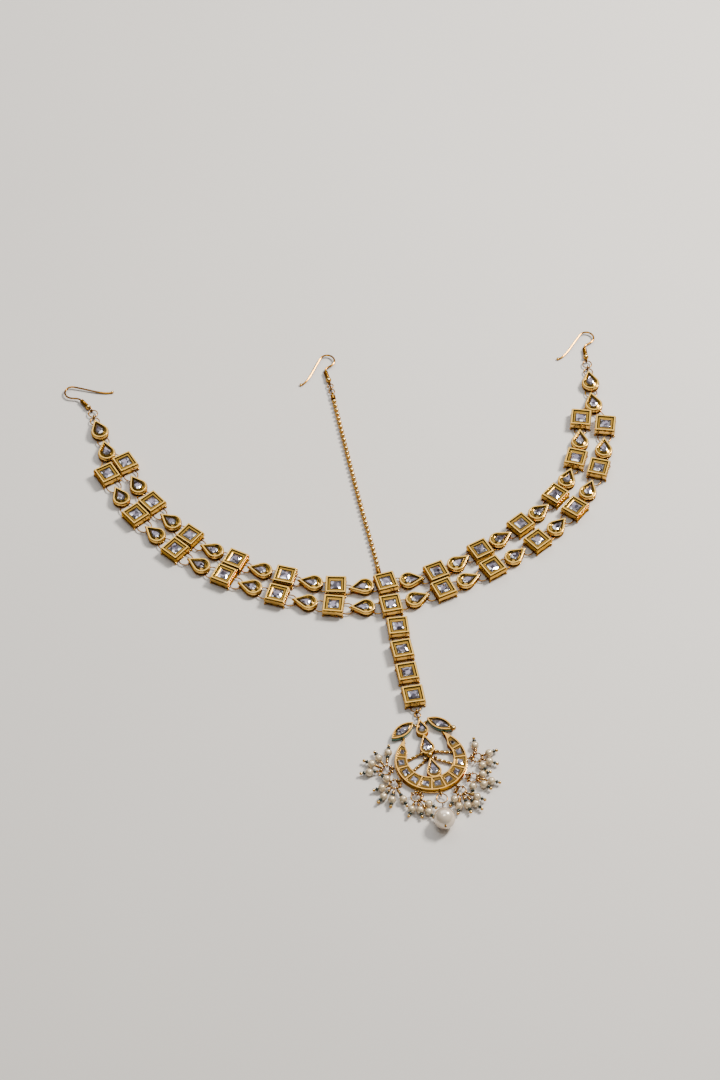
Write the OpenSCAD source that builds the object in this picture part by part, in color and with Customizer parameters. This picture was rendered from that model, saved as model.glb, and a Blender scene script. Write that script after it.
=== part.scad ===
// Matha patti: a head ornament of two double rows of stone settings that meet at
// a centre column, with a ball chain behind, a crescent pendant in front and a
// wire hook on each free end. It lies flat. The origin is on the surface, under
// the crossing square where the rows, the chain and the column meet.

/* [Settings] */
// Width of a square setting across its rim
square_w = 8.4; // [7.6:0.1:9.6]
// Length of a pear setting from its round end to its tip
pear_l = 10.4; // [9.6:0.1:11.6]
// Width of a pear setting across its round end
pear_w = 7.2; // [6.6:0.1:7.8]
// Thickness of the rim round a stone
rim_t = 0.55; // [0.4:0.05:0.7]
// Height of the rim above the groove that runs round a setting
rim_h = 0.5; // [0.4:0.05:0.6]
// Height of that groove
groove_h = 0.3; // [0.2:0.05:0.4]
// Depth of that groove
groove_d = 0.3; // [0.15:0.05:0.4]
// Height of the open gallery under every cup
gallery_h = 1.8; // [1.6:0.1:2.4]
// Depth of a square cup above its gallery
square_cup_h = 2.8; // [2.4:0.1:3.4]
// Depth of a pear cup above its gallery
pear_cup_h = 1.6; // [1.5:0.1:2]
// Thickness of the gallery posts
post_t = 0.45; // [0.35:0.05:0.6]
// Width of the post in the middle of each side of a square
post_w = 1.4; // [1:0.1:1.8]
// Width of the corner posts of a square
corner_w = 0.6; // [0.5:0.05:0.7]
// Height of the wire that runs round the foot of a gallery
foot_h = 0.4; // [0.3:0.05:0.5]

/* [Stones] */
// Width of a square stone
square_stone_w = 5; // [4.4:0.1:5.6]
// Length of a pear stone
pear_stone_l = 6.2; // [5.6:0.1:6.6]
// Width of a pear stone
pear_stone_w = 4; // [3.6:0.1:4.4]
// Depth of the sloping bezel in a square cup
square_bezel_h = 0.9; // [0.7:0.05:1.2]
// Depth of the sloping bezel in a pear cup
pear_bezel_h = 0.6; // [0.5:0.05:0.7]
// Depth of the seat that holds a stone's girdle
seat_h = 0.5; // [0.4:0.05:0.6]
// Height of a stone's cut crown above its girdle
crown_h = 0.4; // [0.3:0.05:0.5]
// Width of a stone's table as a share of the stone
table_share = 0.55; // [0.45:0.05:0.65]

/* [Rings] */
// Outer width of the rings that join the settings, where a gap doesn't need more
ring_w = 5.4; // [5.2:0.1:5.8]
// Thickness of their wire
ring_wire = 0.5; // [0.4:0.05:0.55]
// Width of the long links that close a double row on its single pear
long_link_w = 3.4; // [3.2:0.1:3.8]
// Gap between two settings at the ends of the side rows and between the end pears
end_gap = 2.3; // [2:0.1:2.8]
// Outer width of the upright eyes and rings
eye_w = 2.5; // [2.4:0.05:2.6]
// Distance between the parts that a small ring of the chain or pendant joins
small_hold = 1.2; // [1:0.1:1.6]

/* [Hooks] */
// Thickness of the hook wire
hook_wire = 0.8; // [0.7:0.05:0.9]
// Length of the wire between the coil and the bend
shank_l = 2.4; // [2:0.1:3.2]
// Radius of the bend
bend_r = 3.3; // [2.8:0.1:3.8]
// Length of the tail behind the bend
tail_l = 17.5; // [14:0.5:20]
// Diameter of the ball under the coil
hook_ball_d = 2.3; // [2:0.05:2.4]
// Length of the coil wound round the shank
coil_l = 4.2; // [3.4:0.1:4.8]
// Number of turns in the coil
coil_turns = 7; // [5:1:8]
// Distance that each flat ring between the last pear and the hook spans
hook_hold = 2.6; // [2.2:0.1:3]

/* [Chain] */
// Diameter of the balls of the centre chain
ball_d = 2.1; // [1.9:0.05:2.2]
// Length of the ball chain between its end caps
chain_l = 97; // [80:1:105]
// Length of an end cap
cap_l = 1.8; // [1.4:0.1:2.4]

/* [Pendant] */
// Outer radius of the crescent
crescent_r = 15; // [14.8:0.05:15.2]
// Radius of the round opening in the crescent
crescent_hole_r = 9.8; // [9.2:0.1:10.2]
// How far that opening lies above the crescent's middle
crescent_hole_y = 1.3; // [1.1:0.1:1.5]
// Radius of the round cut that shapes the horns
horn_r = 8.9; // [8.6:0.1:9.2]
// Height of the pendant's cups and of the crescent
pendant_h = 2.6; // [2.4:0.1:3]
// Number of channel stones in the crescent
crescent_stones_n = 11; // [11:1:11]
// Size of a channel stone along the crescent
channel_stone_l = 3.4; // [3:0.1:3.6]
// Size of a channel stone across the crescent
channel_stone_w = 2.9; // [2.6:0.1:3]
// Width of the bars between the channel stones
bar_w = 0.55; // [0.4:0.05:0.7]
// Width of the slope between a rim of the pendant and its stone
slope_w = 0.55; // [0.45:0.05:0.65]
// Length of a leaf
leaf_l = 12.2; // [11:0.1:13]
// Width of a leaf
leaf_w = 5.4; // [5:0.1:6]
// Distance of a leaf's middle from the pendant's middle line
leaf_out = 8.1; // [7.9:0.1:8.5]
// Length of the top pear
top_pear_l = 8.6; // [8:0.1:9.2]
// Width of the top pear
top_pear_w = 5.2; // [4.8:0.1:5.6]
// Length of each pear in the middle of the crescent
inner_pear_l = 10.2; // [9.8:0.1:10.4]
// Width of each pear in the middle of the crescent
inner_pear_w = 6.2; // [5.8:0.1:6.6]
// Thickness of the struts between the inner pears and the crescent
strut_d = 0.9; // [0.7:0.05:1.1]
// Turn of the pendant from upright in degrees
pendant_turn = 13; // [8:1:18]

/* [Pearls] */
// Diameter of a small pearl
pearl_d = 3.4; // [3:0.1:3.4]
// Diameter of the large pearl
big_pearl_d = 9.2; // [8:0.1:10]
// Thickness of the wire pins
pin_d = 0.44; // [0.36:0.04:0.48]
// Diameter of the ball on the end of each pin
pin_ball_d = 1; // [0.8:0.05:1.2]
// Length left between a pearl and the pin's ball for a tiny bead
bead_l = 1.2; // [1:0.05:1.25]
// Length of the wire between its ring and the large pearl
big_wire_l = 5; // [4.6:0.1:5.4]
// Outer width of the ring that carries a cluster of pearls
cluster_ring_w = 5; // [4.8:0.1:5.2]
// Length of the stems that hold these rings off the crescent
stem_l = 1; // [0.8:0.1:1.2]

/* [Hidden] */
// Clearance between pieces that move on each other
clear = 0.17;
// Clearance between a stone and its seat
stone_gap = 0.15;
// Overlap of shapes that are soldered together
solder = 0.2;
// Extra depth of a cut so that it passes right through
cut = 1;
// Number of sides of a swept wire
wire_sides = 8;
// Angles of the posts round the round end of a pear
pear_posts = [100, 180, 260];
// Where the cut corners of a square stone start, as a share of its table
corner_cut = 0.45;

// The four rows. Each walks from its centre square with these headings in degrees:
// [steps from the centre, heading].
LEFT_INNER_HEADINGS = [[0, 191], [2, 168], [4, 161], [6, 150], [8, 136], [10, 124], [11, 115]];
LEFT_OUTER_HEADINGS = [[0, 184], [2, 170], [4, 158], [6, 150], [8, 136], [10, 124], [11, 117]];
RIGHT_INNER_HEADINGS = [[0, 9], [2, 30], [4, 37], [6, 42], [8, 60], [10, 79], [11, 86]];
RIGHT_OUTER_HEADINGS = [[0, 18], [2, 27], [4, 34], [6, 43], [8, 59], [10, 77], [11, 85]];

// How far each setting of a row is turned from its heading in degrees, as it lies.
LEFT_INNER_LEANS = [8, 5, 3, 3, 8, 1, 8, 2, 8, 4, 1, 5];
LEFT_OUTER_LEANS = [2, 1, 1, 3, 5, 2, 3, -1, 5, 3, -4, 4];
RIGHT_INNER_LEANS = [-8, 0, 5, -5, -5, 1, -6, -4, 6, 1, 6, -2];
RIGHT_OUTER_LEANS = [2, 1, -5, 1, 4, 1, 2, -2, 6, 3, 5, -1];

// The rows as [headings, leans, number of the centre square, first and last gap
// as shares of ring_w].
LEFT_INNER = [LEFT_INNER_HEADINGS, LEFT_INNER_LEANS, 1, 0.26, 0.65];
LEFT_OUTER = [LEFT_OUTER_HEADINGS, LEFT_OUTER_LEANS, 2, 0.54, 0.70];
RIGHT_INNER = [RIGHT_INNER_HEADINGS, RIGHT_INNER_LEANS, 1, 0.35, 0.37];
RIGHT_OUTER = [RIGHT_OUTER_HEADINGS, RIGHT_OUTER_LEANS, 2, 0.50, 0.58];
ROW_N = 12;

// The centre column as [turn of the square, heading to the next square].
COLUMN = [[17, -80], [12, -76], [7, -82], [12, -80], [11, -78], [10, -79]];
COLUMN_N = 6;
// Gap between the squares of the column as a share of ring_w.
COLUMN_GAP = 0.70;

// The end of each side as [heading, turn] of its two single pears and of its hook.
LEFT_END = [[115, 104], [107, 112], [103, 130]];
RIGHT_END = [[88, 100], [94, 96], [94, 96]];

// The bends of a hook as [side of the bend, kink above the coil, bend].
LEFT_BEND = [-1, 45, 187];
RIGHT_BEND = [1, 62, 203];
CENTRE_BEND = [1, 70, 208];

// Route of the ball chain as [share of its length, heading], from its lower end.
CHAIN_HEADINGS = [[0, 99], [0.1, 103], [0.5, 101.5], [1, 101]];
CHAIN_RINGS_N = 28;

// Tail of a hook behind its bend as [share of its length, turn from its heading].
TAIL_TURNS = [[0, 0], [0.5, 3], [0.7, -4], [0.85, -12], [1, -30]];

// Clusters of pearls round the crescent as [angle of the ring, pearls], each pearl
// as [angle of its pin, reach from the ring's middle as a share of pearl_d].
CLUSTERS = [
  [181, [[72, 2.59], [105, 2.00], [140, 2.03], [176, 2.12]]],
  [205, [[128, 1.29], [185, 1.65], [219, 2.24], [248, 2.26], [282, 2.41]]],
  [238, [[238, 1.85], [270, 1.91], [292, 2.59], [314, 1.79]]],
  [296, [[226, 1.47], [251, 2.29], [278, 2.29], [301, 2.65], [323, 2.18]]],
  [321, [[256, 1.29], [311, 1.65], [335, 2.32], [9, 1.29]]],
  [352, [[84, 1.82], [287, 1.29], [327, 1.62], [11, 1.62]]]];

// Sizes that follow from the ones above
square_h = gallery_h + square_cup_h;
pear_h = gallery_h + pear_cup_h;
pear_r = pear_w / 2;
ring_z = (foot_h + gallery_h) / 2;
post_in = 0.1;
square_post = square_w / 2 - post_in - post_t / 2;
pear_post_d = 0.6;
pear_tip_in = 0.55;
pear_post_in = post_in + 0.05;
reach = pear_post_d / 2 + 2 * clear + ring_wire / 2;
core_in = (ring_w - ring_w * LEFT_INNER[3]) / 2 + 2 * clear;
small_reach = ring_wire + clear;
eye_r = (eye_w - ring_wire) / 2;
hook_z = eye_w / 2;
pearl_z = pearl_d / 2;

function along(a) = [cos(a), sin(a)];
function mid(a, b) = (a + b) / 2;
function angle_of(v) = atan2(v[1], v[0]);
function turned(p, a) = [p[0] * cos(a) - p[1] * sin(a), p[0] * sin(a) + p[1] * cos(a)];

// Places of the centre column
column_step = square_w + ring_w * COLUMN_GAP;
function column_at(i) =
  i == 1 ? [0, 0] : column_at(i - 1) + column_step * along(COLUMN[i - 2][1]);
function column_turn(i) = COLUMN[i - 1][0];
function column_post(i, side) = column_at(i) + square_post * along(column_turn(i) + side);

// Places along a row. Odd stations are pears and even ones are squares.
function row_step(row, i) =
  (square_w + pear_l) / 2 + ring_w * lookup(i, [[0, row[3]], [ROW_N - 1, row[4]]]);
function heading(row, i) = lookup(i, row[0]);
function station(row, i) =
  i == 0 ? column_at(row[2]) :
  station(row, i - 1) + row_step(row, i - 1) * along(heading(row, i - 1));
function is_pear(i) = i % 2 == 1;
function station_turn(row, i) =
  (heading(row, i - 1) + heading(row, min(i, ROW_N - 1))) / 2 + row[1][i - 1];

// Posts that the rings of a row hold: the one that faces back to the centre and
// the one that faces out to the hook
function back_post(row, i) =
  station(row, i) - (is_pear(i) ? pear_l / 2 - pear_post_in - pear_post_d / 2 : square_post)
  * along(station_turn(row, i));
function out_post(row, i) =
  i == 0 ? column_post(row[2], row[0][0][1] > 90 ? 180 : 0) :
  station(row, i) + (is_pear(i) ? pear_l / 2 - pear_tip_in : square_post)
  * along(station_turn(row, i));

// Places of the single pears and the hook at the end of a side
function rows_end(inner, outer) = mid(station(inner, ROW_N), station(outer, ROW_N));
function end_pear_at(inner, outer, end, i) =
  i == 1 ? rows_end(inner, outer) + ((square_w + pear_l) / 2 + end_gap) * along(end[0][0]) :
  end_pear_at(inner, outer, end, 1) + (pear_l + end_gap) * along(end[1][0]);
function end_tip(inner, outer, end, i) =
  end_pear_at(inner, outer, end, i) + (pear_l / 2 - pear_tip_in) * along(end[i - 1][1]);
function end_link_at(inner, outer, end) =
  end_tip(inner, outer, end, 2) + (hook_hold + eye_r) * along(end[2][0]);
function end_hook_at(inner, outer, end) =
  end_link_at(inner, outer, end) + (hook_hold + eye_r) * along(end[2][0]) + eye_r * along(end[2][1]);

// Two posts on the first single pear face the two rows: the angle between them,
// which way is out from the rows, and the post on one side of it
twin_angle = 84;
function end_side(end) = end[0][0] > 90 ? 1 : -1;
function twin_way(inner, outer, end) =
  angle_of(station(inner, ROW_N) - station(outer, ROW_N)) + 90 * end_side(end);
function twin_post(inner, outer, end, side) =
  end_pear_at(inner, outer, end, 1) - (pear_l / 2 - pear_r) * along(end[0][1])
  - (pear_r - pear_post_in - pear_post_d / 2)
  * along(twin_way(inner, outer, end) + side * end_side(end) * twin_angle / 2);

// Places of the chain, from its ring on the crossing square up to its hook
chain_post_x = -0.18 * square_w;
chain_post = column_at(1) + turned([chain_post_x, square_post], column_turn(1));
chain_foot = chain_post + (small_hold + eye_r) * along(CHAIN_HEADINGS[0][1]);
function chain_heading(k) = lookup(k / CHAIN_RINGS_N, CHAIN_HEADINGS);
chain_step = chain_l / CHAIN_RINGS_N;
chain_start = chain_foot + (eye_r + cap_l + 2 * clear) * along(CHAIN_HEADINGS[0][1]);
function chain_at(k) =
  k == 0 ? chain_start : chain_at(k - 1) + chain_step * along(chain_heading(k - 0.5));
chain_out = chain_heading(CHAIN_RINGS_N);
centre_turn = 106;
chain_head = chain_at(CHAIN_RINGS_N) + (eye_r + cap_l + 2 * clear) * along(chain_out);
chain_ring_at = chain_head + (small_hold + 2 * eye_r) * along(chain_out);
centre_hook_at = chain_ring_at + (small_hold + 2 * eye_r) * along(chain_out);

// Places of the pendant, from the last square of the column down
pendant_drop = COLUMN[COLUMN_N - 1][1];
pendant_ring_at = column_post(COLUMN_N, -90) + (2 * small_hold + eye_r) * along(pendant_drop);
pendant_eye_at = pendant_ring_at + (small_hold + 2 * eye_r) * along(pendant_drop);
// Half the gap between the two inner pears, which a drop of solder fills
joint_gap = 0.9;
lower_pear_y = crescent_hole_y - crescent_hole_r + inner_pear_l / 2 - solder;
joint_y = lower_pear_y + inner_pear_l / 2 + joint_gap;
upper_pear_y = joint_y + inner_pear_l / 2 + joint_gap;
top_pear_y = upper_pear_y + (inner_pear_l + top_pear_l) / 2 - 2 * solder;
pendant_eye_y = top_pear_y + top_pear_l / 2 + eye_r;
pendant_at = pendant_eye_at - turned([0, pendant_eye_y], pendant_turn);
// Angle between the middles of neighbouring channel stones
channel_step = 24.4;
function channel_angle(k) = -90 + (k - (crescent_stones_n - 1) / 2) * channel_step;
function channel_r(k) = (crescent_in(channel_angle(k)) + crescent_r) / 2;
// The first and the last stone are smaller, because the horns are narrower
function channel_share(k) = k == 0 || k == crescent_stones_n - 1 ? 0.7 : 1;

// Outlines, each centred on its own length and with its tip along +X
module pear_outline(l, w, inset) {
  r = w / 2 - inset;
  flank = asin((w / 2) / (l - w / 2));
  translate([w / 2 - l / 2, 0]) {
    circle(r, $fn = 48);
    polygon([
      [0, 0],
      [r * sin(flank), -r * cos(flank)],
      [r / sin(flank), 0],
      [r * sin(flank), r * cos(flank)]]);
  }
}
module leaf_outline(l, w, inset) {
  bow_r = (l * l + w * w) / (4 * w);
  intersection() {
    translate([0, bow_r - w / 2]) circle(bow_r - inset, $fn = 96);
    translate([0, w / 2 - bow_r]) circle(bow_r - inset, $fn = 96);
  }
}
// The crescent's outline: its outer edge from horn to horn, and its inner edge back.
// The inner edge is the round opening below and the round cut between the horns above.
horn_a = asin(crescent_r / (2 * horn_r));
function crescent_in(a) = max(
  crescent_hole_y * sin(a) + sqrt(pow(crescent_hole_r, 2) - pow(crescent_hole_y * cos(a), 2)),
  2 * horn_r * sin(a));
module crescent_outline() {
  n = 72;
  function at_a(k) = 180 - horn_a + k * (180 + 2 * horn_a) / n;
  outer = [for (k = [0 : n]) crescent_r * along(at_a(k))];
  inner = [for (k = [n - 1 : -1 : 1]) crescent_in(at_a(k)) * along(at_a(k))];
  polygon(concat(outer, inner));
}

// Points of a pear outline, for cut stones and the cups of the pendant
function pear_points(l, w, n, inset = 0) =
  let (r = w / 2 - inset, c = w / 2 - l / 2, flank = asin(w / (2 * l - w))) concat(
  [[c + r / sin(flank), 0]],
  [for (k = [0 : n]) let (a = 90 - flank + k * (180 + 2 * flank) / n) [c + r * cos(a), r * sin(a)]]);
function leaf_points(l, w, n) = let (bow_r = (l * l + w * w) / (4 * w), half = asin(l / 2 / bow_r)) concat(
  [for (k = [0 : n - 1]) let (a = half - 2 * half * k / n) [bow_r * sin(a), w / 2 - bow_r + bow_r * cos(a)]],
  [for (k = [0 : n - 1]) let (a = 2 * half * k / n - half) [bow_r * sin(a), bow_r - w / 2 - bow_r * cos(a)]]);

// A cut stone on a list of girdle points that run anticlockwise: a straight girdle,
// one sloping facet for each side and a flat table
module cut_stone(girdle) {
  n = len(girdle);
  girdle_h = seat_h - stone_gap;
  points = concat(
    [for (p = girdle) [p[0], p[1], 0]],
    [for (p = girdle) [p[0], p[1], girdle_h]],
    [for (p = girdle) [p[0] * table_share, p[1] * table_share, girdle_h + crown_h]]);
  rings = [for (lift = [0, 1], k = [0 : n - 1])
    [lift * n + k, (lift + 1) * n + k, (lift + 1) * n + (k + 1) % n, lift * n + (k + 1) % n]];
  bottom = [for (k = [0 : n - 1]) k];
  top = [for (k = [0 : n - 1]) 3 * n - 1 - k];
  polyhedron(points, concat([bottom, top], rings));
}

// A rectangular stone has its corners cut across in the crown, so eight facets
// run round an eight-sided table
module cut_block(l, w) {
  girdle_h = seat_h - stone_gap;
  x = l / 2;
  y = w / 2;
  tx = x * table_share;
  ty = y * table_share;
  square = [[x, y], [-x, y], [-x, -y], [x, -y]];
  table = [
    [tx, ty * corner_cut], [tx * corner_cut, ty], [-tx * corner_cut, ty], [-tx, ty * corner_cut],
    [-tx, -ty * corner_cut], [-tx * corner_cut, -ty], [tx * corner_cut, -ty], [tx, -ty * corner_cut]];
  points = concat(
    [for (p = square) [p[0], p[1], 0]],
    [for (p = square) [p[0], p[1], girdle_h]],
    [for (p = table) [p[0], p[1], girdle_h + crown_h]]);
  walls = [for (k = [0 : 3]) [k, 4 + k, 4 + (k + 1) % 4, (k + 1) % 4]];
  corners = [for (k = [0 : 3]) [4 + k, 8 + 2 * k, 9 + 2 * k]];
  slopes = [for (k = [0 : 3]) [4 + k, 9 + 2 * k, 8 + (2 * k + 2) % 8, 4 + (k + 1) % 4]];
  polyhedron(points, concat([[0, 1, 2, 3], [15, 14, 13, 12, 11, 10, 9, 8]], walls, corners, slopes));
}

// Cuts that hollow a cup from its rim: the bezel and the seat under it
module square_hollow() {
  rim_half = square_w / 2 - rim_t;
  seat_half = square_stone_w / 2 + stone_gap;
  slope = (rim_half - seat_half) / square_bezel_h;
  translate([0, 0, square_h - square_bezel_h])
    linear_extrude(square_bezel_h + cut, scale = (rim_half + slope * cut) / seat_half)
      square(2 * seat_half, center = true);
  translate([0, 0, square_h - square_bezel_h - seat_h])
    linear_extrude(seat_h + cut) square(2 * seat_half, center = true);
}
module pear_hollow() {
  translate([0, 0, pear_h - pear_bezel_h])
    linear_extrude(pear_bezel_h + cut) pear_outline(pear_l, pear_w, rim_t);
  translate([0, 0, pear_h - pear_bezel_h - seat_h]) linear_extrude(pear_bezel_h + seat_h)
    pear_outline(pear_stone_l + 3 * stone_gap, pear_stone_w + 2 * stone_gap, 0);
}

// The open gallery of a square: a core, a foot wire and eight posts
module square_gallery(sides = [0 : 90 : 270]) {
  outer = square_w - 2 * post_in;
  linear_extrude(gallery_h + solder) square(square_w - 2 * core_in, center = true);
  linear_extrude(foot_h) difference() {
    square(outer, center = true);
    square(outer - 2 * post_t, center = true);
  }
  linear_extrude(foot_h) square([square_w - 2 * core_in, outer - post_t], center = true);
  linear_extrude(foot_h) square([outer - post_t, square_w - 2 * core_in], center = true);
  for (side = sides) rotate(side)
    translate([outer / 2 - post_t, -post_w / 2, 0]) cube([post_t, post_w, gallery_h + solder]);
  for (side = [0 : 90 : 270]) rotate(side)
    translate([outer / 2 - corner_w, outer / 2 - corner_w, 0])
      cube([corner_w, corner_w, gallery_h + solder]);
}
module square_setting(sides = [0 : 90 : 270]) {
  square_gallery(sides);
  difference() {
    union() {
      translate([0, 0, gallery_h])
        linear_extrude(square_cup_h - rim_h - groove_h) square(square_w, center = true);
      translate([0, 0, square_h - rim_h - groove_h - solder])
        linear_extrude(groove_h + 2 * solder) square(square_w - 2 * groove_d, center = true);
      translate([0, 0, square_h - rim_h]) linear_extrude(rim_h) square(square_w, center = true);
    }
    square_hollow();
  }
}

// The open gallery of a pear: a core, a foot wire, a post at the tip and posts at
// the given angles round the round end
module pear_gallery(post_angles) {
  linear_extrude(gallery_h + solder) pear_outline(pear_l, pear_w, core_in);
  linear_extrude(foot_h) pear_outline(pear_l, pear_w, post_in);
  translate([pear_l / 2 - pear_tip_in, 0, 0])
    cylinder(h = gallery_h + solder, d = pear_post_d, $fn = 24);
  for (a = post_angles) translate([pear_r - pear_l / 2, 0, 0]) rotate(a)
    translate([pear_r - pear_post_in - pear_post_d / 2, 0, 0])
      cylinder(h = gallery_h + solder, d = pear_post_d, $fn = 24);
}
module pear_setting(post_angles = pear_posts) {
  pear_gallery(post_angles);
  difference() {
    translate([0, 0, gallery_h]) linear_extrude(pear_cup_h) pear_outline(pear_l, pear_w, 0);
    pear_hollow();
  }
}
module square_stone() {
  translate([0, 0, square_h - square_bezel_h - seat_h + stone_gap])
    cut_block(square_stone_w, square_stone_w);
}
module pear_stone() {
  translate([0, 0, pear_h - pear_bezel_h - seat_h + stone_gap])
    cut_stone(pear_points(pear_stone_l, pear_stone_w, 10));
}

// A flat round ring that holds two upright bars at a and b, at least as wide as asked
module ring(a, b, least_w = 0, hold = reach) {
  width = max(least_w, norm(b - a) + 2 * hold + ring_wire);
  centre = mid(a, b);
  translate([centre[0], centre[1], ring_z])
    rotate_extrude($fn = 48) translate([(width - ring_wire) / 2, 0]) circle(d = ring_wire, $fn = 24);
}

// A long narrow link that lies flat round two upright bars
module long_link(a, b) {
  half_w = (long_link_w - ring_wire) / 2;
  half_l = norm(b - a) / 2 + reach + 1.5 * clear;
  bends_n = 16;
  sides = 6;
  at = mid(a, b);
  way = angle_of(b - a);
  path = [for (k = [0 : bends_n - 1]) let (t = (k + 0.5) * 360 / bends_n)
    at + turned([half_w * cos(t) + sign(cos(t)) * (half_l - half_w), half_w * sin(t)], way)];
  verts = [for (k = [0 : bends_n - 1], s = [0 : sides - 1])
    let (
      side = angle_of(path[(k + 1) % bends_n] - path[(k + bends_n - 1) % bends_n]) + 90,
      over = ring_wire / 2 * cos(360 * s / sides))
    [path[k][0] + over * cos(side), path[k][1] + over * sin(side),
     ring_z + ring_wire / 2 * sin(360 * s / sides)]];
  walls = [for (k = [0 : bends_n - 1], s = [0 : sides - 1])
    [k * sides + s, (k + 1) % bends_n * sides + s,
     (k + 1) % bends_n * sides + (s + 1) % sides, k * sides + (s + 1) % sides]];
  polyhedron(verts, walls);
}

// An upright eye or ring whose plane holds the given heading
module upright_eye(at, a, z = hook_z) {
  translate([at[0], at[1], z]) rotate(a) rotate([90, 0, 0])
    rotate_extrude($fn = 48) translate([eye_r, 0]) circle(d = ring_wire, $fn = 24);
}

// A wire swept along a list of points, with its rings upright
module swept_wire(points, r) {
  n = len(points);
  sides = wire_sides;
  function way(k) = angle_of(points[min(k + 1, n - 1)] - points[max(k - 1, 0)]);
  verts = [for (k = [0 : n - 1], s = [0 : sides - 1])
    let (a = 360 * s / sides, side = way(k) + 90)
    points[k] + [r * cos(a) * cos(side), r * cos(a) * sin(side), r * sin(a)]];
  walls = [for (k = [0 : n - 2], s = [0 : sides - 1])
    [k * sides + s, (k + 1) * sides + s,
     (k + 1) * sides + (s + 1) % sides, k * sides + (s + 1) % sides]];
  start = [for (s = [0 : sides - 1]) s];
  finish = [for (s = [0 : sides - 1]) n * sides - 1 - s];
  polyhedron(verts, concat([start, finish], walls));
}

// Sub-parts of the centre column
module centre_square(i) {
  at = column_at(i);
  color("gold") translate([at[0], at[1], 0]) rotate(column_turn(i)) {
    square_setting(i == 1 ? [0, 180, 270] : [0 : 90 : 270]);
    if (i == 1) translate([chain_post_x, square_post, 0])
      cylinder(h = gallery_h + solder, d = post_t, $fn = 24);
  }
}
module centre_stone(i) {
  at = column_at(i);
  color("white") translate([at[0], at[1], 0]) rotate(column_turn(i)) square_stone();
}
module centre_rings() {
  color("gold") for (i = [1 : COLUMN_N - 1])
    ring(column_post(i, -90), column_post(i + 1, 90), ring_w);
}

// Sub-parts of the rows
module row_settings(row) {
  color("gold") for (i = [1 : ROW_N]) {
    at = station(row, i);
    translate([at[0], at[1], 0]) rotate(station_turn(row, i)) {
      if (is_pear(i)) pear_setting(); else square_setting();
    }
  }
}
module row_stones(row) {
  color("white") for (i = [1 : ROW_N]) {
    at = station(row, i);
    translate([at[0], at[1], 0]) rotate(station_turn(row, i)) {
      if (is_pear(i)) pear_stone(); else square_stone();
    }
  }
}
module row_rings(row) {
  color("gold") for (i = [0 : ROW_N - 1]) ring(out_post(row, i), back_post(row, i + 1), ring_w);
}

// Sub-parts of an end: two single pears, their rings and the hook
module end_pear(inner, outer, end, i) {
  at = end_pear_at(inner, outer, end, i);
  twist = 180 + twin_way(inner, outer, end) - end[0][1];
  posts = i == 2 ? pear_posts :
    [twist - twin_angle / 2, twist + twin_angle / 2, 180 - 90 * end_side(end)];
  color("gold") translate([at[0], at[1], 0]) rotate(end[i - 1][1]) pear_setting(posts);
}
module end_stone(inner, outer, end, i) {
  at = end_pear_at(inner, outer, end, i);
  color("white") translate([at[0], at[1], 0]) rotate(end[i - 1][1])
    pear_stone();
}
module end_rings(inner, outer, end) {
  round_post = end_pear_at(inner, outer, end, 2)
    - (pear_l / 2 - pear_post_in - pear_post_d / 2) * along(end[1][1]);
  link = end_link_at(inner, outer, end);
  color("gold") {
    long_link(out_post(outer, ROW_N), twin_post(inner, outer, end, -1));
    long_link(out_post(inner, ROW_N), twin_post(inner, outer, end, 1));
    ring(end_tip(inner, outer, end, 1), round_post);
    ring(end_tip(inner, outer, end, 2), link - eye_r * along(end[2][0]), 0, small_reach);
    upright_eye(link, end[2][0]);
    ring(link + eye_r * along(end[2][0]),
      end_hook_at(inner, outer, end) - eye_r * along(end[2][1]), 0, small_reach);
  }
}

// A wire hook that lies on its side: an eye, a ball, a coil, a kink, a round bend
// and a tail that drops to the floor
module hook(at, a, bends) {
  side = bends[0];
  kink = bends[1];
  bend = bends[2];
  shank_at = eye_r + hook_ball_d - 2 * solder + coil_l;
  kink_n = 3;
  shank_n = kink_n + 2;
  bend_steps = 12;
  bend_n = shank_n + bend_steps;
  route_n = bend_n + bend_steps;
  function way(k) = side * (
    k <= kink_n ? -kink * (k - 0.5) / kink_n :
    k <= shank_n ? -kink :
    k <= bend_n ? bend * (k - shank_n - 0.5) / (bend_n - shank_n) - kink :
    bend - kink + lookup((k - bend_n - 0.5) / (route_n - bend_n), TAIL_TURNS));
  function stride(k) =
    k <= kink_n ? hook_wire :
    k <= shank_n ? shank_l / (shank_n - kink_n) :
    k <= bend_n ? bend_r * bend * PI / 180 / (bend_n - shank_n) :
    tail_l / (route_n - bend_n);
  function place(k) = k == 0 ? [shank_at, 0] : place(k - 1) + stride(k) * along(way(k));
  drop = hook_z - hook_wire / 2;
  flat = concat([[shank_at - coil_l / 2, 0]], [for (k = [0 : route_n]) place(k)]);
  route = [for (k = [0 : route_n + 1])
    [flat[k][0], flat[k][1], hook_z - drop * max(0, (k - bend_n) / (route_n + 1 - bend_n))]];
  coil_pitch = coil_l / coil_turns;
  coil_wire = 0.9 * coil_pitch;
  color("gold") {
    upright_eye(at, a);
    translate([at[0], at[1], 0]) rotate(a) {
      translate([eye_r + hook_ball_d / 2 - solder, 0, hook_z]) sphere(d = hook_ball_d, $fn = 32);
      translate([shank_at - coil_l - solder, 0, hook_z]) rotate([0, 90, 0])
        cylinder(h = coil_l + solder, d = hook_wire + coil_pitch, $fn = 32);
      for (k = [0 : coil_turns - 1])
        translate([shank_at - coil_l + (k + 0.5) * coil_pitch, 0, hook_z]) rotate([0, 90, 0])
          rotate_extrude($fn = 32) translate([(hook_wire + coil_wire) / 2, 0])
            circle(d = coil_wire, $fn = 24);
      swept_wire(route, hook_wire / 2);
    }
  }
}

module side_hook(inner, outer, end, bends) {
  hook(end_hook_at(inner, outer, end), end[2][1], bends);
}

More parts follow.
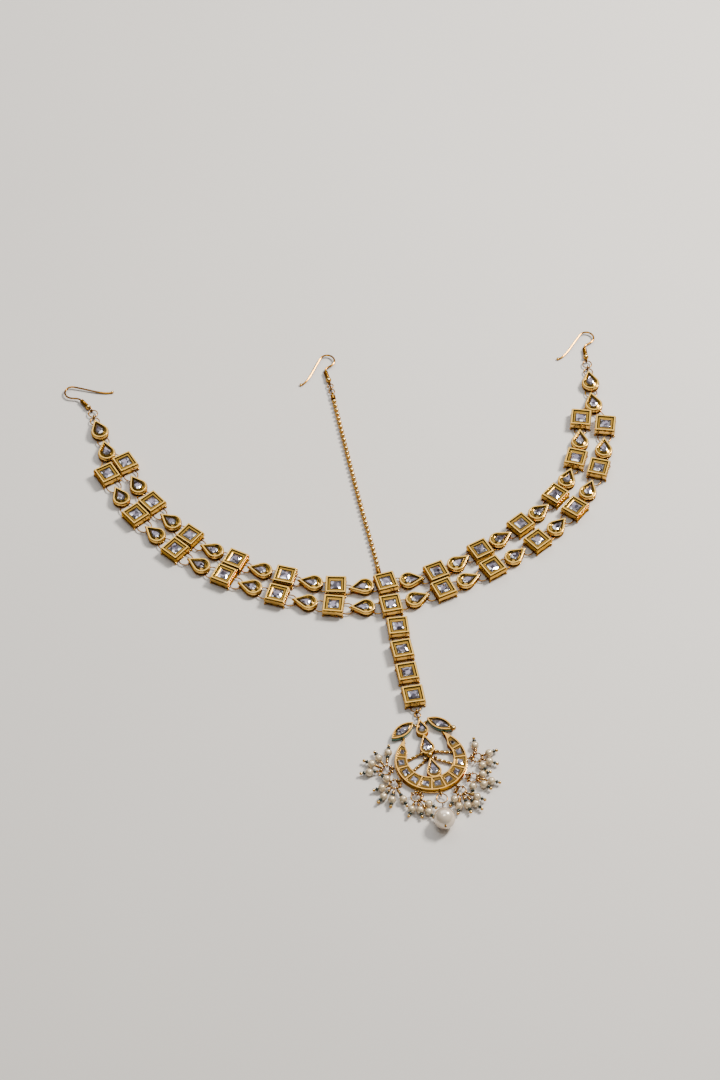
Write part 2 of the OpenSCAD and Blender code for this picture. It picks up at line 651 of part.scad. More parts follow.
// Sub-parts of the chain
module centre_chain() {
  points = [for (k = [0 : CHAIN_RINGS_N]) let (p = chain_at(k)) [p[0], p[1], hook_z]];
  color("gold") swept_wire(points, ball_d / 2);
}
module chain_cap(eye, a) {
  upright_eye(eye, a);
  translate([eye[0], eye[1], hook_z]) rotate(a) rotate([0, 90, 0])
    translate([0, 0, eye_r]) cylinder(h = cap_l + clear, d = ball_d, $fn = 32);
}
module chain_caps() {
  color("gold") {
    chain_cap(chain_foot, CHAIN_HEADINGS[0][1]);
    chain_cap(chain_head, chain_out + 180);
  }
}
module chain_rings() {
  color("gold") {
    ring(chain_post, chain_foot - eye_r * along(CHAIN_HEADINGS[0][1]), 0, small_reach);
    ring(chain_head + eye_r * along(chain_out), chain_ring_at - eye_r * along(chain_out), 0, small_reach);
    upright_eye(chain_ring_at, chain_out);
    ring(chain_ring_at + eye_r * along(chain_out), centre_hook_at - eye_r * along(chain_out), 0, small_reach);
  }
}

// Sub-parts of the pendant, drawn with its own upright along +Y
module in_pendant() {
  translate([pendant_at[0], pendant_at[1], 0]) rotate(pendant_turn) children();
}
module pendant_rings() {
  color("gold") {
    ring(column_post(COLUMN_N, -90), pendant_ring_at - eye_r * along(pendant_drop), 0, reach);
    upright_eye(pendant_ring_at, pendant_drop);
    ring(pendant_ring_at + eye_r * along(pendant_drop), pendant_eye_at - eye_r * along(pendant_drop), 0,
      small_reach);
  }
}
pendant_bezel_h = 0.5;
pendant_seat_z = pendant_h - pendant_bezel_h - seat_h;
function pendant_stone_w(w) = w - 2 * (rim_t + slope_w);
function pendant_stone_l(l) = l - 3 * (rim_t + slope_w);
module pendant_pear(y, l, w) {
  round_n = 20;
  seat_l = pendant_stone_l(l) + 3 * stone_gap;
  seat_w = pendant_stone_w(w) + 2 * stone_gap;
  translate([0, y, 0]) rotate(90) difference() {
    linear_extrude(pendant_h) polygon(pear_points(l, w, round_n));
    translate([0, 0, pendant_h - pendant_bezel_h])
      linear_extrude(pendant_bezel_h + cut) polygon(pear_points(l, w, round_n, rim_t));
    translate([0, 0, pendant_seat_z])
      linear_extrude(seat_h + solder) polygon(pear_points(seat_l, seat_w, round_n));
  }
}
// Turn of each leaf, and the size of its stone
left_leaf_a = 209;
right_leaf_a = -39;
leaf_stone_l = leaf_l - 4 * (rim_t + slope_w);
leaf_stone_w = leaf_w - 2 * (rim_t + slope_w);
function leaf_at(side) = [side * leaf_out, top_pear_y];
module leaf_place(side, a) {
  at = leaf_at(side);
  translate([at[0], at[1], 0]) rotate(a) children();
}
module leaf(side, a) {
  leaf_place(side, a) difference() {
    linear_extrude(pendant_h) leaf_outline(leaf_l, leaf_w, 0);
    translate([0, 0, pendant_h - pendant_bezel_h])
      linear_extrude(pendant_bezel_h + cut) leaf_outline(leaf_l, leaf_w, rim_t);
    translate([0, 0, pendant_seat_z]) linear_extrude(seat_h + solder)
      leaf_outline(leaf_stone_l + 4 * stone_gap, leaf_stone_w + 2 * stone_gap, 0);
  }
}
// A straight wire between two points of the pendant
module strut(a, b) {
  way = b - a;
  translate([a[0], a[1], strut_d / 2 + foot_h]) rotate(angle_of(way)) rotate([0, 90, 0])
    cylinder(h = norm(way), d = strut_d, $fn = 24);
}
// The crescent has one cut for the slope round each channel stone and one for its seat
module crescent() {
  difference() {
    linear_extrude(pendant_h) crescent_outline();
    for (k = [0 : crescent_stones_n - 1]) {
      a = channel_angle(k);
      half_a = channel_step / 2 - asin(bar_w / 2 / channel_r(k));
      seat = channel_share(k) * [channel_stone_w, channel_stone_l] + 2 * stone_gap * [1, 1];
      inner = [for (s = [-1, 0, 1]) (crescent_in(a + s * half_a) + rim_t) * along(a + s * half_a)];
      outer = [for (s = [1, 0.35, -0.35, -1]) (crescent_r - rim_t) * along(a + s * half_a)];
      translate([0, 0, pendant_h - pendant_bezel_h])
        linear_extrude(pendant_bezel_h + cut) polygon(concat(inner, outer));
      rotate(a) translate([channel_r(k), 0, pendant_seat_z]) linear_extrude(seat_h + solder)
        square(seat, center = true);
    }
  }
}
module crescent_stones() {
  color("white") in_pendant() for (k = [0 : crescent_stones_n - 1])
    rotate(channel_angle(k)) translate([channel_r(k), 0, pendant_seat_z + stone_gap])
      cut_block(channel_share(k) * channel_stone_w, channel_share(k) * channel_stone_l);
}
module pendant_stone(y, l, w) {
  color("white") in_pendant() translate([0, y, pendant_seat_z + stone_gap])
    rotate(90) cut_stone(pear_points(pendant_stone_l(l), pendant_stone_w(w), 10));
}
module leaf_stone(side, a) {
  color("white") in_pendant() leaf_place(side, a) translate([0, 0, pendant_seat_z + stone_gap])
    cut_stone(leaf_points(leaf_stone_l, leaf_stone_w, 6));
}

// Upright eyes round the crescent's edge carry the rings of the pearl clusters
crescent_eye_at = crescent_r + stem_l + eye_r;
cluster_ring_r = (cluster_ring_w - ring_wire) / 2;
cluster_at = crescent_eye_at + cluster_ring_r;
big_angle = 270;
// Where the struts end on the crescent's opening, as angles about its middle
upper_strut_a = 8;
lower_strut_a = -26;
function opening_at(side, a) =
  [side * (crescent_hole_r + solder) * cos(a), crescent_hole_y + (crescent_hole_r + solder) * sin(a)];
module pendant_frame() {
  color("gold") in_pendant() {
    crescent();
    pendant_pear(top_pear_y, top_pear_l, top_pear_w);
    pendant_pear(upper_pear_y, inner_pear_l, inner_pear_w);
    pendant_pear(lower_pear_y, inner_pear_l, inner_pear_w);
    translate([0, joint_y, 0])
      cylinder(h = pendant_h - pendant_bezel_h, r = joint_gap + 1.5 * solder, $fn = 32);
    leaf(-1, left_leaf_a);
    leaf(1, right_leaf_a);
    strut(leaf_at(-1) - 0.45 * leaf_l * along(left_leaf_a), [0, top_pear_y + 0.12 * top_pear_l]);
    strut(leaf_at(1) - 0.45 * leaf_l * along(right_leaf_a), [0, top_pear_y + 0.12 * top_pear_l]);
    for (side = [-1, 1]) {
      strut([side * inner_pear_w / 4, upper_pear_y - 0.3 * inner_pear_l], opening_at(side, upper_strut_a));
      strut([0, joint_y], opening_at(side, lower_strut_a));
      strut((crescent_r - 2 * solder) * [side * cos(horn_a - 4), sin(horn_a - 4)], leaf_at(side));
    }
    upright_eye([0, pendant_eye_y], 90);
    for (a = concat([for (cluster = CLUSTERS) cluster[0]], [big_angle])) {
      upright_eye(crescent_eye_at * along(a), a, pearl_z);
      translate([(crescent_r - solder) * cos(a), (crescent_r - solder) * sin(a), pearl_z])
        rotate([0, 90, a]) cylinder(h = stem_l + 1.5 * solder, d = ring_wire, $fn = 24);
    }
  }
}

// Sub-parts of the pearl clusters
module pin(from, a, l) {
  translate([from[0], from[1], pearl_z]) rotate(a) rotate([0, 90, 0]) {
    translate([0, 0, cluster_ring_r]) cylinder(h = l - cluster_ring_r, d = pin_d, $fn = 24);
    translate([0, 0, l]) sphere(d = pin_ball_d, $fn = 24);
  }
}
module cluster_ring(at) {
  translate([at[0], at[1], pearl_z])
    rotate_extrude($fn = 24) translate([cluster_ring_r, 0]) circle(d = ring_wire, $fn = 24);
}
pin_over = pearl_d / 2 + bead_l + pin_ball_d / 2;
module pearl_wires() {
  color("gold") in_pendant() for (cluster = CLUSTERS) {
    at = cluster_at * along(cluster[0]);
    cluster_ring(at);
    for (p = cluster[1]) pin(at, p[0], p[1] * pearl_d + pin_over);
  }
}
module drilled_pearl(d) {
  difference() {
    sphere(d = d, $fn = 48);
    cylinder(h = d + cut, d = pin_d + 2 * clear, center = true, $fn = 24);
  }
}
module pearls() {
  color("ivory") in_pendant() for (cluster = CLUSTERS, p = cluster[1]) {
    at = cluster_at * along(cluster[0]) + p[1] * pearl_d * along(p[0]);
    translate([at[0], at[1], pearl_z]) rotate([0, 90, p[0]]) drilled_pearl(pearl_d);
  }
}
// The large pearl's wire slopes up from its ring through the middle of the pearl
big_heading = -99;
big_run = big_wire_l + big_pearl_d / 2;
big_rise = big_pearl_d / 2 - pearl_z;
big_l = norm([big_run, big_rise]);
big_far = big_l + (big_pearl_d + pin_ball_d) / 2;
big_foot = cluster_at * along(big_angle) + cluster_ring_r * along(big_heading);
module along_big_wire() {
  translate([big_foot[0], big_foot[1], pearl_z])
    rotate([0, 90 - atan2(big_rise, big_run), big_heading]) children();
}
module big_pearl_wire() {
  color("gold") in_pendant() {
    cluster_ring(cluster_at * along(big_angle));
    along_big_wire() {
      cylinder(h = big_far, d = pin_d, $fn = 48);
      translate([0, 0, big_far]) sphere(d = pin_ball_d, $fn = 48);
    }
  }
}
module big_pearl() {
  color("ivory") in_pendant() along_big_wire() translate([0, 0, big_l]) drilled_pearl(big_pearl_d);
}

centre_square(1);  // centre_square_1
centre_square(2);  // centre_square_2
centre_square(3);  // centre_square_3
centre_square(4);  // centre_square_4
centre_square(5);  // centre_square_5
centre_square(6);  // centre_square_6
centre_stone(1);  // centre_stone_1
centre_stone(2);  // centre_stone_2
centre_stone(3);  // centre_stone_3
centre_stone(4);  // centre_stone_4
centre_stone(5);  // centre_stone_5
centre_stone(6);  // centre_stone_6
centre_rings();
row_settings(LEFT_INNER);  // left_inner_settings
row_stones(LEFT_INNER);  // left_inner_stones
row_rings(LEFT_INNER);  // left_inner_rings
row_settings(LEFT_OUTER);  // left_outer_settings
row_stones(LEFT_OUTER);  // left_outer_stones
row_rings(LEFT_OUTER);  // left_outer_rings
row_settings(RIGHT_INNER);  // right_inner_settings
row_stones(RIGHT_INNER);  // right_inner_stones
row_rings(RIGHT_INNER);  // right_inner_rings
row_settings(RIGHT_OUTER);  // right_outer_settings
row_stones(RIGHT_OUTER);  // right_outer_stones
row_rings(RIGHT_OUTER);  // right_outer_rings
end_pear(LEFT_INNER, LEFT_OUTER, LEFT_END, 1);  // left_end_pear_1
end_pear(LEFT_INNER, LEFT_OUTER, LEFT_END, 2);  // left_end_pear_2
end_stone(LEFT_INNER, LEFT_OUTER, LEFT_END, 1);  // left_end_stone_1
end_stone(LEFT_INNER, LEFT_OUTER, LEFT_END, 2);  // left_end_stone_2
end_pear(RIGHT_INNER, RIGHT_OUTER, RIGHT_END, 1);  // right_end_pear_1
end_pear(RIGHT_INNER, RIGHT_OUTER, RIGHT_END, 2);  // right_end_pear_2
end_stone(RIGHT_INNER, RIGHT_OUTER, RIGHT_END, 1);  // right_end_stone_1
end_stone(RIGHT_INNER, RIGHT_OUTER, RIGHT_END, 2);  // right_end_stone_2
end_rings(LEFT_INNER, LEFT_OUTER, LEFT_END);  // left_end_rings
end_rings(RIGHT_INNER, RIGHT_OUTER, RIGHT_END);  // right_end_rings
side_hook(LEFT_INNER, LEFT_OUTER, LEFT_END, LEFT_BEND);  // left_hook
side_hook(RIGHT_INNER, RIGHT_OUTER, RIGHT_END, RIGHT_BEND);  // right_hook
hook(centre_hook_at, centre_turn, CENTRE_BEND);  // centre_hook
centre_chain();
chain_caps();
chain_rings();
pendant_rings();
pendant_frame();
crescent_stones();
pendant_stone(top_pear_y, top_pear_l, top_pear_w);  // top_stone
leaf_stone(-1, left_leaf_a);  // left_leaf_stone
leaf_stone(1, right_leaf_a);  // right_leaf_stone
pendant_stone(upper_pear_y, inner_pear_l, inner_pear_w);  // upper_pear_stone
pendant_stone(lower_pear_y, inner_pear_l, inner_pear_w);  // lower_pear_stone
pearl_wires();
pearls();
big_pearl_wire();
big_pearl();
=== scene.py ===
import math

import bpy
from mathutils import Matrix, Vector


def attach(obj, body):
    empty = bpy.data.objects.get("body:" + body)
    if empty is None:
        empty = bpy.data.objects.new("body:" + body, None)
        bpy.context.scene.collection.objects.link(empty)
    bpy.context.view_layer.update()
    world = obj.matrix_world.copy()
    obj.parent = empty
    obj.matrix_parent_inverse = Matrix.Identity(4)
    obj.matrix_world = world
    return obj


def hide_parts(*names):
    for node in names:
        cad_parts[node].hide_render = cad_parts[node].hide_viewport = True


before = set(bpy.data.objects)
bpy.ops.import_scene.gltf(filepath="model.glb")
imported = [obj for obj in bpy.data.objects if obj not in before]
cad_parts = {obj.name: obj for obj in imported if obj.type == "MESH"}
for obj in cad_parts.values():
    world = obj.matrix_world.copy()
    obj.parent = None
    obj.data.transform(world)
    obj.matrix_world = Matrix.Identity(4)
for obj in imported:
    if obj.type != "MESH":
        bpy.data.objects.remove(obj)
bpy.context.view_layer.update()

# TABLE, LIGHT AND CAMERA
# A plain pale matt table top under soft studio light. The light comes mainly from
# the far right, so each setting throws its shadow to the near left.
mm = 0.001
table_side = 6
table_z = -0.01 * mm
# Each light's place, width, depth, power and colour. The softbox behind is what the
# level rims mirror, and the one overhead lights the stones' facets.
lights = {"key_light": ((0.62, 0.42, 0.85), 0.26, 0.26, 21, (1, 0.95, 0.88)),
          "back_softbox": ((-0.15, 0.80, 1.06), 1.3, 0.9, 7.8, (1, 1, 1)),
          "overhead_softbox": ((0, -0.12, 1.3), 0.5, 0.4, 3.2, (1, 1, 1))}
studio_grey = "#CFCBC6"
studio_strength = 0.26
camera_at = (-11.2 * mm, -1034.9 * mm, 1381.6 * mm)
camera_tilt = 37.5
focus_px, photo_h_px = 4000, 1080
sensor_h = 36


def srgb(code):
    """An sRGB hex colour as linear red, green, blue and alpha."""
    shares = [int(code[i:i + 2], 16) / 255 for i in (1, 3, 5)]
    return [s / 12.92 if s <= 0.04045 else ((s + 0.055) / 1.055) ** 2.4 for s in shares] + [1]


def add_node(tree, kind, values={}, links={}, **options):
    """One shader node with its options, the values of its sockets and its links."""
    node = tree.nodes.new(kind)
    for name, value in options.items():
        setattr(node, name, value)
    for name, value in values.items():
        node.inputs[name].default_value = value
    for name, source in links.items():
        tree.links.new(source, node.inputs[name])
    return node


def new_material(name):
    """An empty material, its node tree and its Object coordinates."""
    material = bpy.data.materials.new(name)
    material.use_nodes = True
    tree = material.node_tree
    tree.nodes.clear()
    place = add_node(tree, "ShaderNodeTexCoord").outputs["Object"]
    return material, tree, place


# Matt painted board: no gloss, with a faint unevenness of tone
board, tree, place = new_material("matt_painted_board")
tone = add_node(tree, "ShaderNodeTexNoise", {"Scale": 6, "Detail": 2}, {"Vector": place})
paint = add_node(tree, "ShaderNodeMix", {6: srgb("#DEDAD5"), 7: srgb("#E6E3DE")},
                 {0: tone.outputs["Fac"]}, data_type="RGBA")
shader = add_node(tree, "ShaderNodeBsdfPrincipled", {"Roughness": 0.75}, {"Base Color": paint.outputs[2]})
add_node(tree, "ShaderNodeOutputMaterial", {}, {"Surface": shader.outputs[0]})

bpy.ops.object.select_all(action="DESELECT")
bpy.ops.mesh.primitive_plane_add(size=table_side, location=(0, 0, table_z))
table = bpy.context.object
table.name = "table"
table.data.materials.append(board)

for name, (at, wide, deep, power, colour) in lights.items():
    bpy.ops.object.light_add(type="AREA", location=at)
    light = bpy.context.object
    light.name = name
    light.data.shape = "RECTANGLE"
    light.data.size = wide
    light.data.size_y = deep
    light.data.energy = power
    light.data.color = colour
    light.rotation_euler = (-light.location).to_track_quat("-Z", "Y").to_euler()
world = bpy.data.worlds.new("studio")
bpy.context.scene.world = world
world.use_nodes = True
world.node_tree.nodes["Background"].inputs["Color"].default_value = srgb(studio_grey)
world.node_tree.nodes["Background"].inputs["Strength"].default_value = studio_strength

bpy.ops.object.camera_add(location=camera_at, rotation=(math.radians(camera_tilt), 0, 0))
camera = bpy.context.object
camera.data.sensor_fit = "VERTICAL"
camera.data.sensor_height = sensor_h
camera.data.lens = sensor_h * focus_px / photo_h_px
camera.data.clip_end = 20
bpy.context.scene.camera = camera

# SETTINGS
# Box cups for the stones, cast in brass and gold plated: square ones with a groove
# under the rim and low pear-shaped ones. Each stands on an open gallery with a milled
# bead wire soldered round its foot, and the squares have arches of wire in their sides.
square_w, square_h = 8.4 * mm, 4.6 * mm
pear_l, pear_w, pear_h = 10.4 * mm, 7.2 * mm, 3.4 * mm
rim_t = 0.55 * mm
ring_w = 5.4 * mm
column_gap = 0.70 * ring_w
end_gap = 2.3 * mm
foot_bead_d, foot_bead_pitch, foot_bead_z = 0.55 * mm, 0.62 * mm, 0.28 * mm
square_foot_inset, pear_foot_inset = 0.1 * mm, 0.08 * mm
corner_bead_d, corner_bead_z = 1.05 * mm, 0.53 * mm
arch_r, arch_wire = 1.22 * mm, 0.3 * mm
arch_x, arch_z, arch_foot_z = 2.1 * mm, 0.42 * mm, 0.3 * mm

# Each row: its headings in degrees at places along it, how far each of its twelve
# cups leans from the row's line, the column's square that it starts from, and its
# first and last gap as shares of a ring's width. The column gives each square's
# turn and the heading to the next, and the side ends each single pear's two.
row_n = 12
rows = {
    "left_inner": ([(0, 191), (2, 168), (4, 161), (6, 150), (8, 136), (10, 124), (11, 115)],
                   [8, 5, 3, 3, 8, 1, 8, 2, 8, 4, 1, 5], 1, 0.26, 0.65),
    "left_outer": ([(0, 184), (2, 170), (4, 158), (6, 150), (8, 136), (10, 124), (11, 117)],
                   [2, 1, 1, 3, 5, 2, 3, -1, 5, 3, -4, 4], 2, 0.54, 0.70),
    "right_inner": ([(0, 9), (2, 30), (4, 37), (6, 42), (8, 60), (10, 79), (11, 86)],
                    [-8, 0, 5, -5, -5, 1, -6, -4, 6, 1, 6, -2], 1, 0.35, 0.37),
    "right_outer": ([(0, 18), (2, 27), (4, 34), (6, 43), (8, 59), (10, 77), (11, 85)],
                    [2, 1, -5, 1, 4, 1, 2, -2, 6, 3, 5, -1], 2, 0.50, 0.58)}
column = [(17, -80), (12, -76), (7, -82), (12, -80), (11, -78), (10, -79)]
side_ends = {"left": [(115, 104), (107, 112)], "right": [(88, 100), (94, 96)]}


def along(angle):
    """A level direction at an angle in degrees from +X."""
    return Vector((math.cos(math.radians(angle)), math.sin(math.radians(angle)), 0))


def at_share(table, x):
    """The value at x in a table of (x, value), straight between its entries."""
    for (x0, v0), (x1, v1) in zip(table, table[1:]):
        if x <= x1:
            return v0 + (v1 - v0) * max(0, x - x0) / (x1 - x0)
    return table[-1][1]


def gold(name, top, slant, wall, recess, rough, reach, grain):
    """Gold plate on brass, painted bright on its level faces as a painted highlight, and
    painted browner on its slopes and walls and darker in its recesses as painted shade.
    Its edges are softly rounded, and its polish is a little uneven on the scale of the given grain."""
    material, tree, place = new_material(name)
    wear = add_node(tree, "ShaderNodeTexNoise", {"Scale": 1 / grain, "Detail": 3, "Roughness": 0.5},
                    {"Vector": place})
    face = add_node(tree, "ShaderNodeNewGeometry")
    way = add_node(tree, "ShaderNodeSeparateXYZ", {}, {0: face.outputs["Normal"]})
    # Painted light by facing: level faces take the top colour as a painted highlight, slopes the slant colour
    # and walls the wall colour as painted shade
    level = add_node(tree, "ShaderNodeMapRange", {"From Min": 0.9, "From Max": 0.985},
                     {"Value": way.outputs["Z"]})
    rise = add_node(tree, "ShaderNodeMapRange", {"From Min": 0.2, "From Max": 0.6},
                    {"Value": way.outputs["Z"]})
    painted_level_light = add_node(tree, "ShaderNodeMix", {6: srgb(slant), 7: srgb(top)}, {0: level.outputs[0]},
                      data_type="RGBA")
    plate = add_node(tree, "ShaderNodeMix", {6: srgb(wall)}, {0: rise.outputs[0], 7: painted_level_light.outputs[2]},
                     data_type="RGBA")
    # Painted shade: the recess colour wherever the occlusion mask finds surfaces close by
    shut_in = add_node(tree, "ShaderNodeAmbientOcclusion", {"Distance": reach}, samples=4)
    depth = add_node(tree, "ShaderNodeMapRange", {"From Min": 0.3, "From Max": 0.9},
                     {"Value": shut_in.outputs["AO"]})
    lit = add_node(tree, "ShaderNodeMix", {6: srgb(recess)}, {0: depth.outputs[0], 7: plate.outputs[2]},
                   data_type="RGBA")
    tarnish = add_node(tree, "ShaderNodeMapRange", {"From Min": 0.5, "From Max": 0.8, "To Max": 0.3},
                       {"Value": wear.outputs["Fac"]})
    colour = add_node(tree, "ShaderNodeMix", {7: srgb("#A8742A")}, {0: tarnish.outputs[0], 6: lit.outputs[2]},
                      data_type="RGBA")
    gloss = add_node(tree, "ShaderNodeMapRange",
                     {"From Min": 0.3, "From Max": 0.7, "To Min": rough * 0.85, "To Max": rough * 1.25},
                     {"Value": wear.outputs["Fac"]})
    soft = add_node(tree, "ShaderNodeBevel", {"Radius": 0.1 * mm}, samples=6)
    relief = add_node(tree, "ShaderNodeBump", {"Strength": 0.2, "Distance": 0.006 * mm},
                      {"Height": wear.outputs["Fac"], "Normal": soft.outputs[0]})
    shader = add_node(tree, "ShaderNodeBsdfPrincipled", {"Metallic": 1, "Specular Tint": srgb("#8A5A20")},
                      {"Base Color": colour.outputs[2], "Roughness": gloss.outputs[0],
                       "Normal": relief.outputs[0]})
    add_node(tree, "ShaderNodeOutputMaterial", {}, {"Surface": shader.outputs[0]})
    return material


def pick(objects):
    """Selects these objects and nothing else."""
    bpy.ops.object.select_all(action="DESELECT")
    for o in objects:
        o.select_set(True)
    bpy.context.view_layer.objects.active = objects[0]


def coat(names, material):
    """Gives the CAD pieces of these names a material."""
    for name in names:
        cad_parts[name].material_slots[0].material = material


def copies(template, places):
    """Copies of a template with their own meshes, each at (place, turn in degrees)."""
    made = []
    for at, turn in places:
        copy = template.copy()
        copy.data = template.data.copy()
        copy.data.transform(Matrix.Translation(at) @ Matrix.Rotation(math.radians(turn), 4, "Z"))
        bpy.context.collection.objects.link(copy)
        made.append(copy)
    return made


def join(objects, name, material=None):
    """One object out of several, with its place in its mesh."""
    pick(objects)
    bpy.ops.object.join()
    piece = bpy.context.object
    bpy.ops.object.transform_apply(location=True, rotation=True, scale=True)
    piece.name = name
    if material:
        piece.data.materials.clear()
        piece.data.materials.append(material)
    return piece


def fit(piece, smooth=True):
    """The piece lies on the one body of the ornament, smooth shaded unless smooth is false."""
    pick([piece])
    if smooth:
        bpy.ops.object.shade_smooth()
    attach(piece, "root")


def drop(*objects):
    """Takes away templates that were copied."""
    pick(list(objects))
    bpy.ops.object.delete()


def bead(d, at=(0, 0, 0), segments=8, rings=5):
    """A ball of few faces, because most are repeated hundreds of times."""
    bpy.ops.object.select_all(action="DESELECT")
    bpy.ops.mesh.primitive_uv_sphere_add(segments=segments, ring_count=rings, radius=d / 2, location=at)
    return bpy.context.object


def pear_path(l, w, inset, pitch):
    """Points at an even pitch round a pear outline with its tip along +X."""
    r = w / 2 - inset
    middle = w / 2 - l / 2
    flank = math.asin(w / (2 * l - w))
    side = r / math.tan(flank)
    turn = math.pi + 2 * flank
    whole = 2 * side + r * turn
    n = round(whole / pitch)
    tip = Vector((middle + r / math.sin(flank), 0, 0))
    upper = Vector((middle + r * math.sin(flank), r * math.cos(flank), 0))
    lower = Vector((upper.x, -upper.y, 0))
    points = []
    for k in range(n):
        s = whole * k / n
        if s < side:
            points.append(tip.lerp(upper, s / side))
        elif s < side + r * turn:
            a = math.pi / 2 - flank + (s - side) / r
            points.append(Vector((middle + r * math.cos(a), r * math.sin(a), 0)))
        else:
            points.append(lower.lerp(tip, (s - side - r * turn) / side))
    return points


# Polished plate on the cast cups: bright warm gold with brown shadows in the gallery
cast_gold = gold("gold_plated_cast_brass", "#DCB058", "#8E6E2E", "#C2923E", "#3A2208",
                 rough=0.15, reach=1.4 * mm, grain=0.9 * mm)
# Milled bead wire and fine loops: a little smoother than the cups, and painted paler as a painted highlight
# on the fine wire
wire_gold = gold("gold_plated_wire", "#FBD488", "#E6B058", "#B88034", "#4E300C",
                 rough=0.14, reach=0.35 * mm, grain=0.6 * mm)

column_places = [Vector((0, 0, 0))]
for turn, heading in column[:-1]:
    column_places.append(column_places[-1] + (square_w + column_gap) * along(heading))
square_places = [(at, turn) for at, (turn, heading) in zip(column_places, column)]
pear_places = []
row_ends = {}
for row, (headings, leans, start, first_gap, last_gap) in rows.items():
    at = column_places[start - 1]
    for i in range(row_n):
        gap = first_gap + (last_gap - first_gap) * i / (row_n - 1)
        at = at + ((square_w + pear_l) / 2 + ring_w * gap) * along(at_share(headings, i))
        turn = (at_share(headings, i) + at_share(headings, min(i + 1, row_n - 1))) / 2 + leans[i]
        (square_places if i % 2 else pear_places).append((at, turn))
    row_ends[row] = at
for side, ((heading_1, turn_1), (heading_2, turn_2)) in side_ends.items():
    at = (row_ends[side + "_inner"] + row_ends[side + "_outer"]) / 2
    at = at + ((square_w + pear_l) / 2 + end_gap) * along(heading_1)
    pear_places.append((at, turn_1))
    pear_places.append((at + (pear_l + end_gap) * along(heading_2), turn_2))

coat([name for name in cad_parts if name.endswith("_settings") or "_end_pear_" in name
      or name.startswith("centre_square")], cast_gold)

# Bead wire round the foot of a square: one bead, a row of beads, and four rows
half = square_w / 2 - square_foot_inset
one = bead(foot_bead_d, (-half, -half, foot_bead_z))
bpy.ops.object.transform_apply(location=True, rotation=True, scale=True)
line = one.modifiers.new("row", "ARRAY")
line.count = round(2 * half / foot_bead_pitch)
line.use_relative_offset = False
line.use_constant_offset = True
line.constant_offset_displace = (2 * half / line.count, 0, 0)
bpy.ops.object.modifier_apply(modifier="row")
arches = []
for side in (-1, 1):
    bpy.ops.object.select_all(action="DESELECT")
    bpy.ops.mesh.primitive_torus_add(major_radius=arch_r, minor_radius=arch_wire / 2, major_segments=16,
                                     minor_segments=6, rotation=(math.pi / 2, 0, 0),
                                     location=(side * arch_x, square_foot_inset - half, arch_z))
    arches.append(bpy.context.object)
    bpy.ops.object.mode_set(mode="EDIT")
    bpy.ops.mesh.select_all(action="SELECT")
    bpy.ops.mesh.bisect(plane_co=(0, 0, arch_foot_z), plane_no=(0, 0, 1), use_fill=True, clear_inner=True)
    bpy.ops.object.mode_set(mode="OBJECT")
corner = bead(corner_bead_d, (-square_w / 2, -square_w / 2, corner_bead_z), 12, 8)
one_side = join([one, corner] + arches, "square_foot_side")
square_trim = join(copies(one_side, [(Vector(), a) for a in (0, 90, 180, 270)]), "square_trim")
square_trims = join(copies(square_trim, square_places), "square_foot_beads", wire_gold)
drop(one_side, square_trim)
fit(square_trims)

# Bead wire round the foot of a pear
one = bead(foot_bead_d, (0, 0, foot_bead_z))
bpy.ops.object.transform_apply(location=True, rotation=True, scale=True)
foot_path = pear_path(pear_l, pear_w, pear_foot_inset, foot_bead_pitch)
pear_trim = join(copies(one, [(point, 0) for point in foot_path]), "pear_trim")
pear_trims = join(copies(pear_trim, pear_places), "pear_foot_beads", wire_gold)
drop(one, pear_trim)
fit(pear_trims)

# BEZELS
# A strip of gold foil pressed down inside the rim of each cup and rolled over the
# edge of its stone. Its colour is browner than the rim's.
strip_t = 0.04 * mm
foil_gap = 0.02 * mm
pear_foil_l, pear_foil_w, pear_foil_pitch = 5.4 * mm, 3.3 * mm, 0.6 * mm
square_foil_w = 4.3 * mm
fold_angle = math.radians(50)


def slope(outer, inner, profile, name):
    """A thin strip between two outlines of as many points, through rings at the given
    (share of the way from the first to the second, height)."""
    n = len(outer)
    rings = [[(*a.lerp(b, share).xy, z) for a, b in zip(outer, inner)] for share, z in profile]
    faces = [(r * n + k, r * n + (k + 1) % n, (r + 1) * n + (k + 1) % n, (r + 1) * n + k)
             for r in range(len(rings) - 1) for k in range(n)]
    mesh = bpy.data.meshes.new(name)
    mesh.from_pydata(sum(rings, []), [], faces)
    strip = bpy.data.objects.new(name, mesh)
    bpy.context.collection.objects.link(strip)
    if mesh.polygons[0].normal.z < 0:
        mesh.flip_normals()
    wall = strip.modifiers.new("wall", "SOLIDIFY")
    wall.thickness = strip_t
    wall.offset = -1
    pick([strip])
    bpy.ops.object.modifier_apply(modifier="wall")
    return strip


def lip(rim_z, stone_z, trough, roll):
    """Heights across a strip: down to a trough inside the rim, up to a rolled lip
    round the stone, and down to the stone."""
    return [(0, rim_z - 0.12 * mm), (0.12, trough + 0.06 * mm), (0.28, trough), (0.5, (trough + roll) / 2),
            (0.72, roll), (0.88, (roll + stone_z) / 2), (1, stone_z)]


def matched(l, w, n, inset=0):
    """The pear outline as n points, each at the same share of the way round."""
    fine = pear_path(l, w, inset, 0.02 * mm)
    return [fine[int(k / n * len(fine))] for k in range(n)]


def sides(corners, n):
    """Points round a figure of four corners, n to a side."""
    return [corners[c].lerp(corners[(c + 1) % 4], k / n) for c in range(4) for k in range(n)]


def box_corners(w, l):
    """The corners of a level oblong, w wide and l long, round its middle."""
    return [Vector((x * w / 2, y * l / 2, 0)) for x, y in ((-1, -1), (1, -1), (1, 1), (-1, 1))]


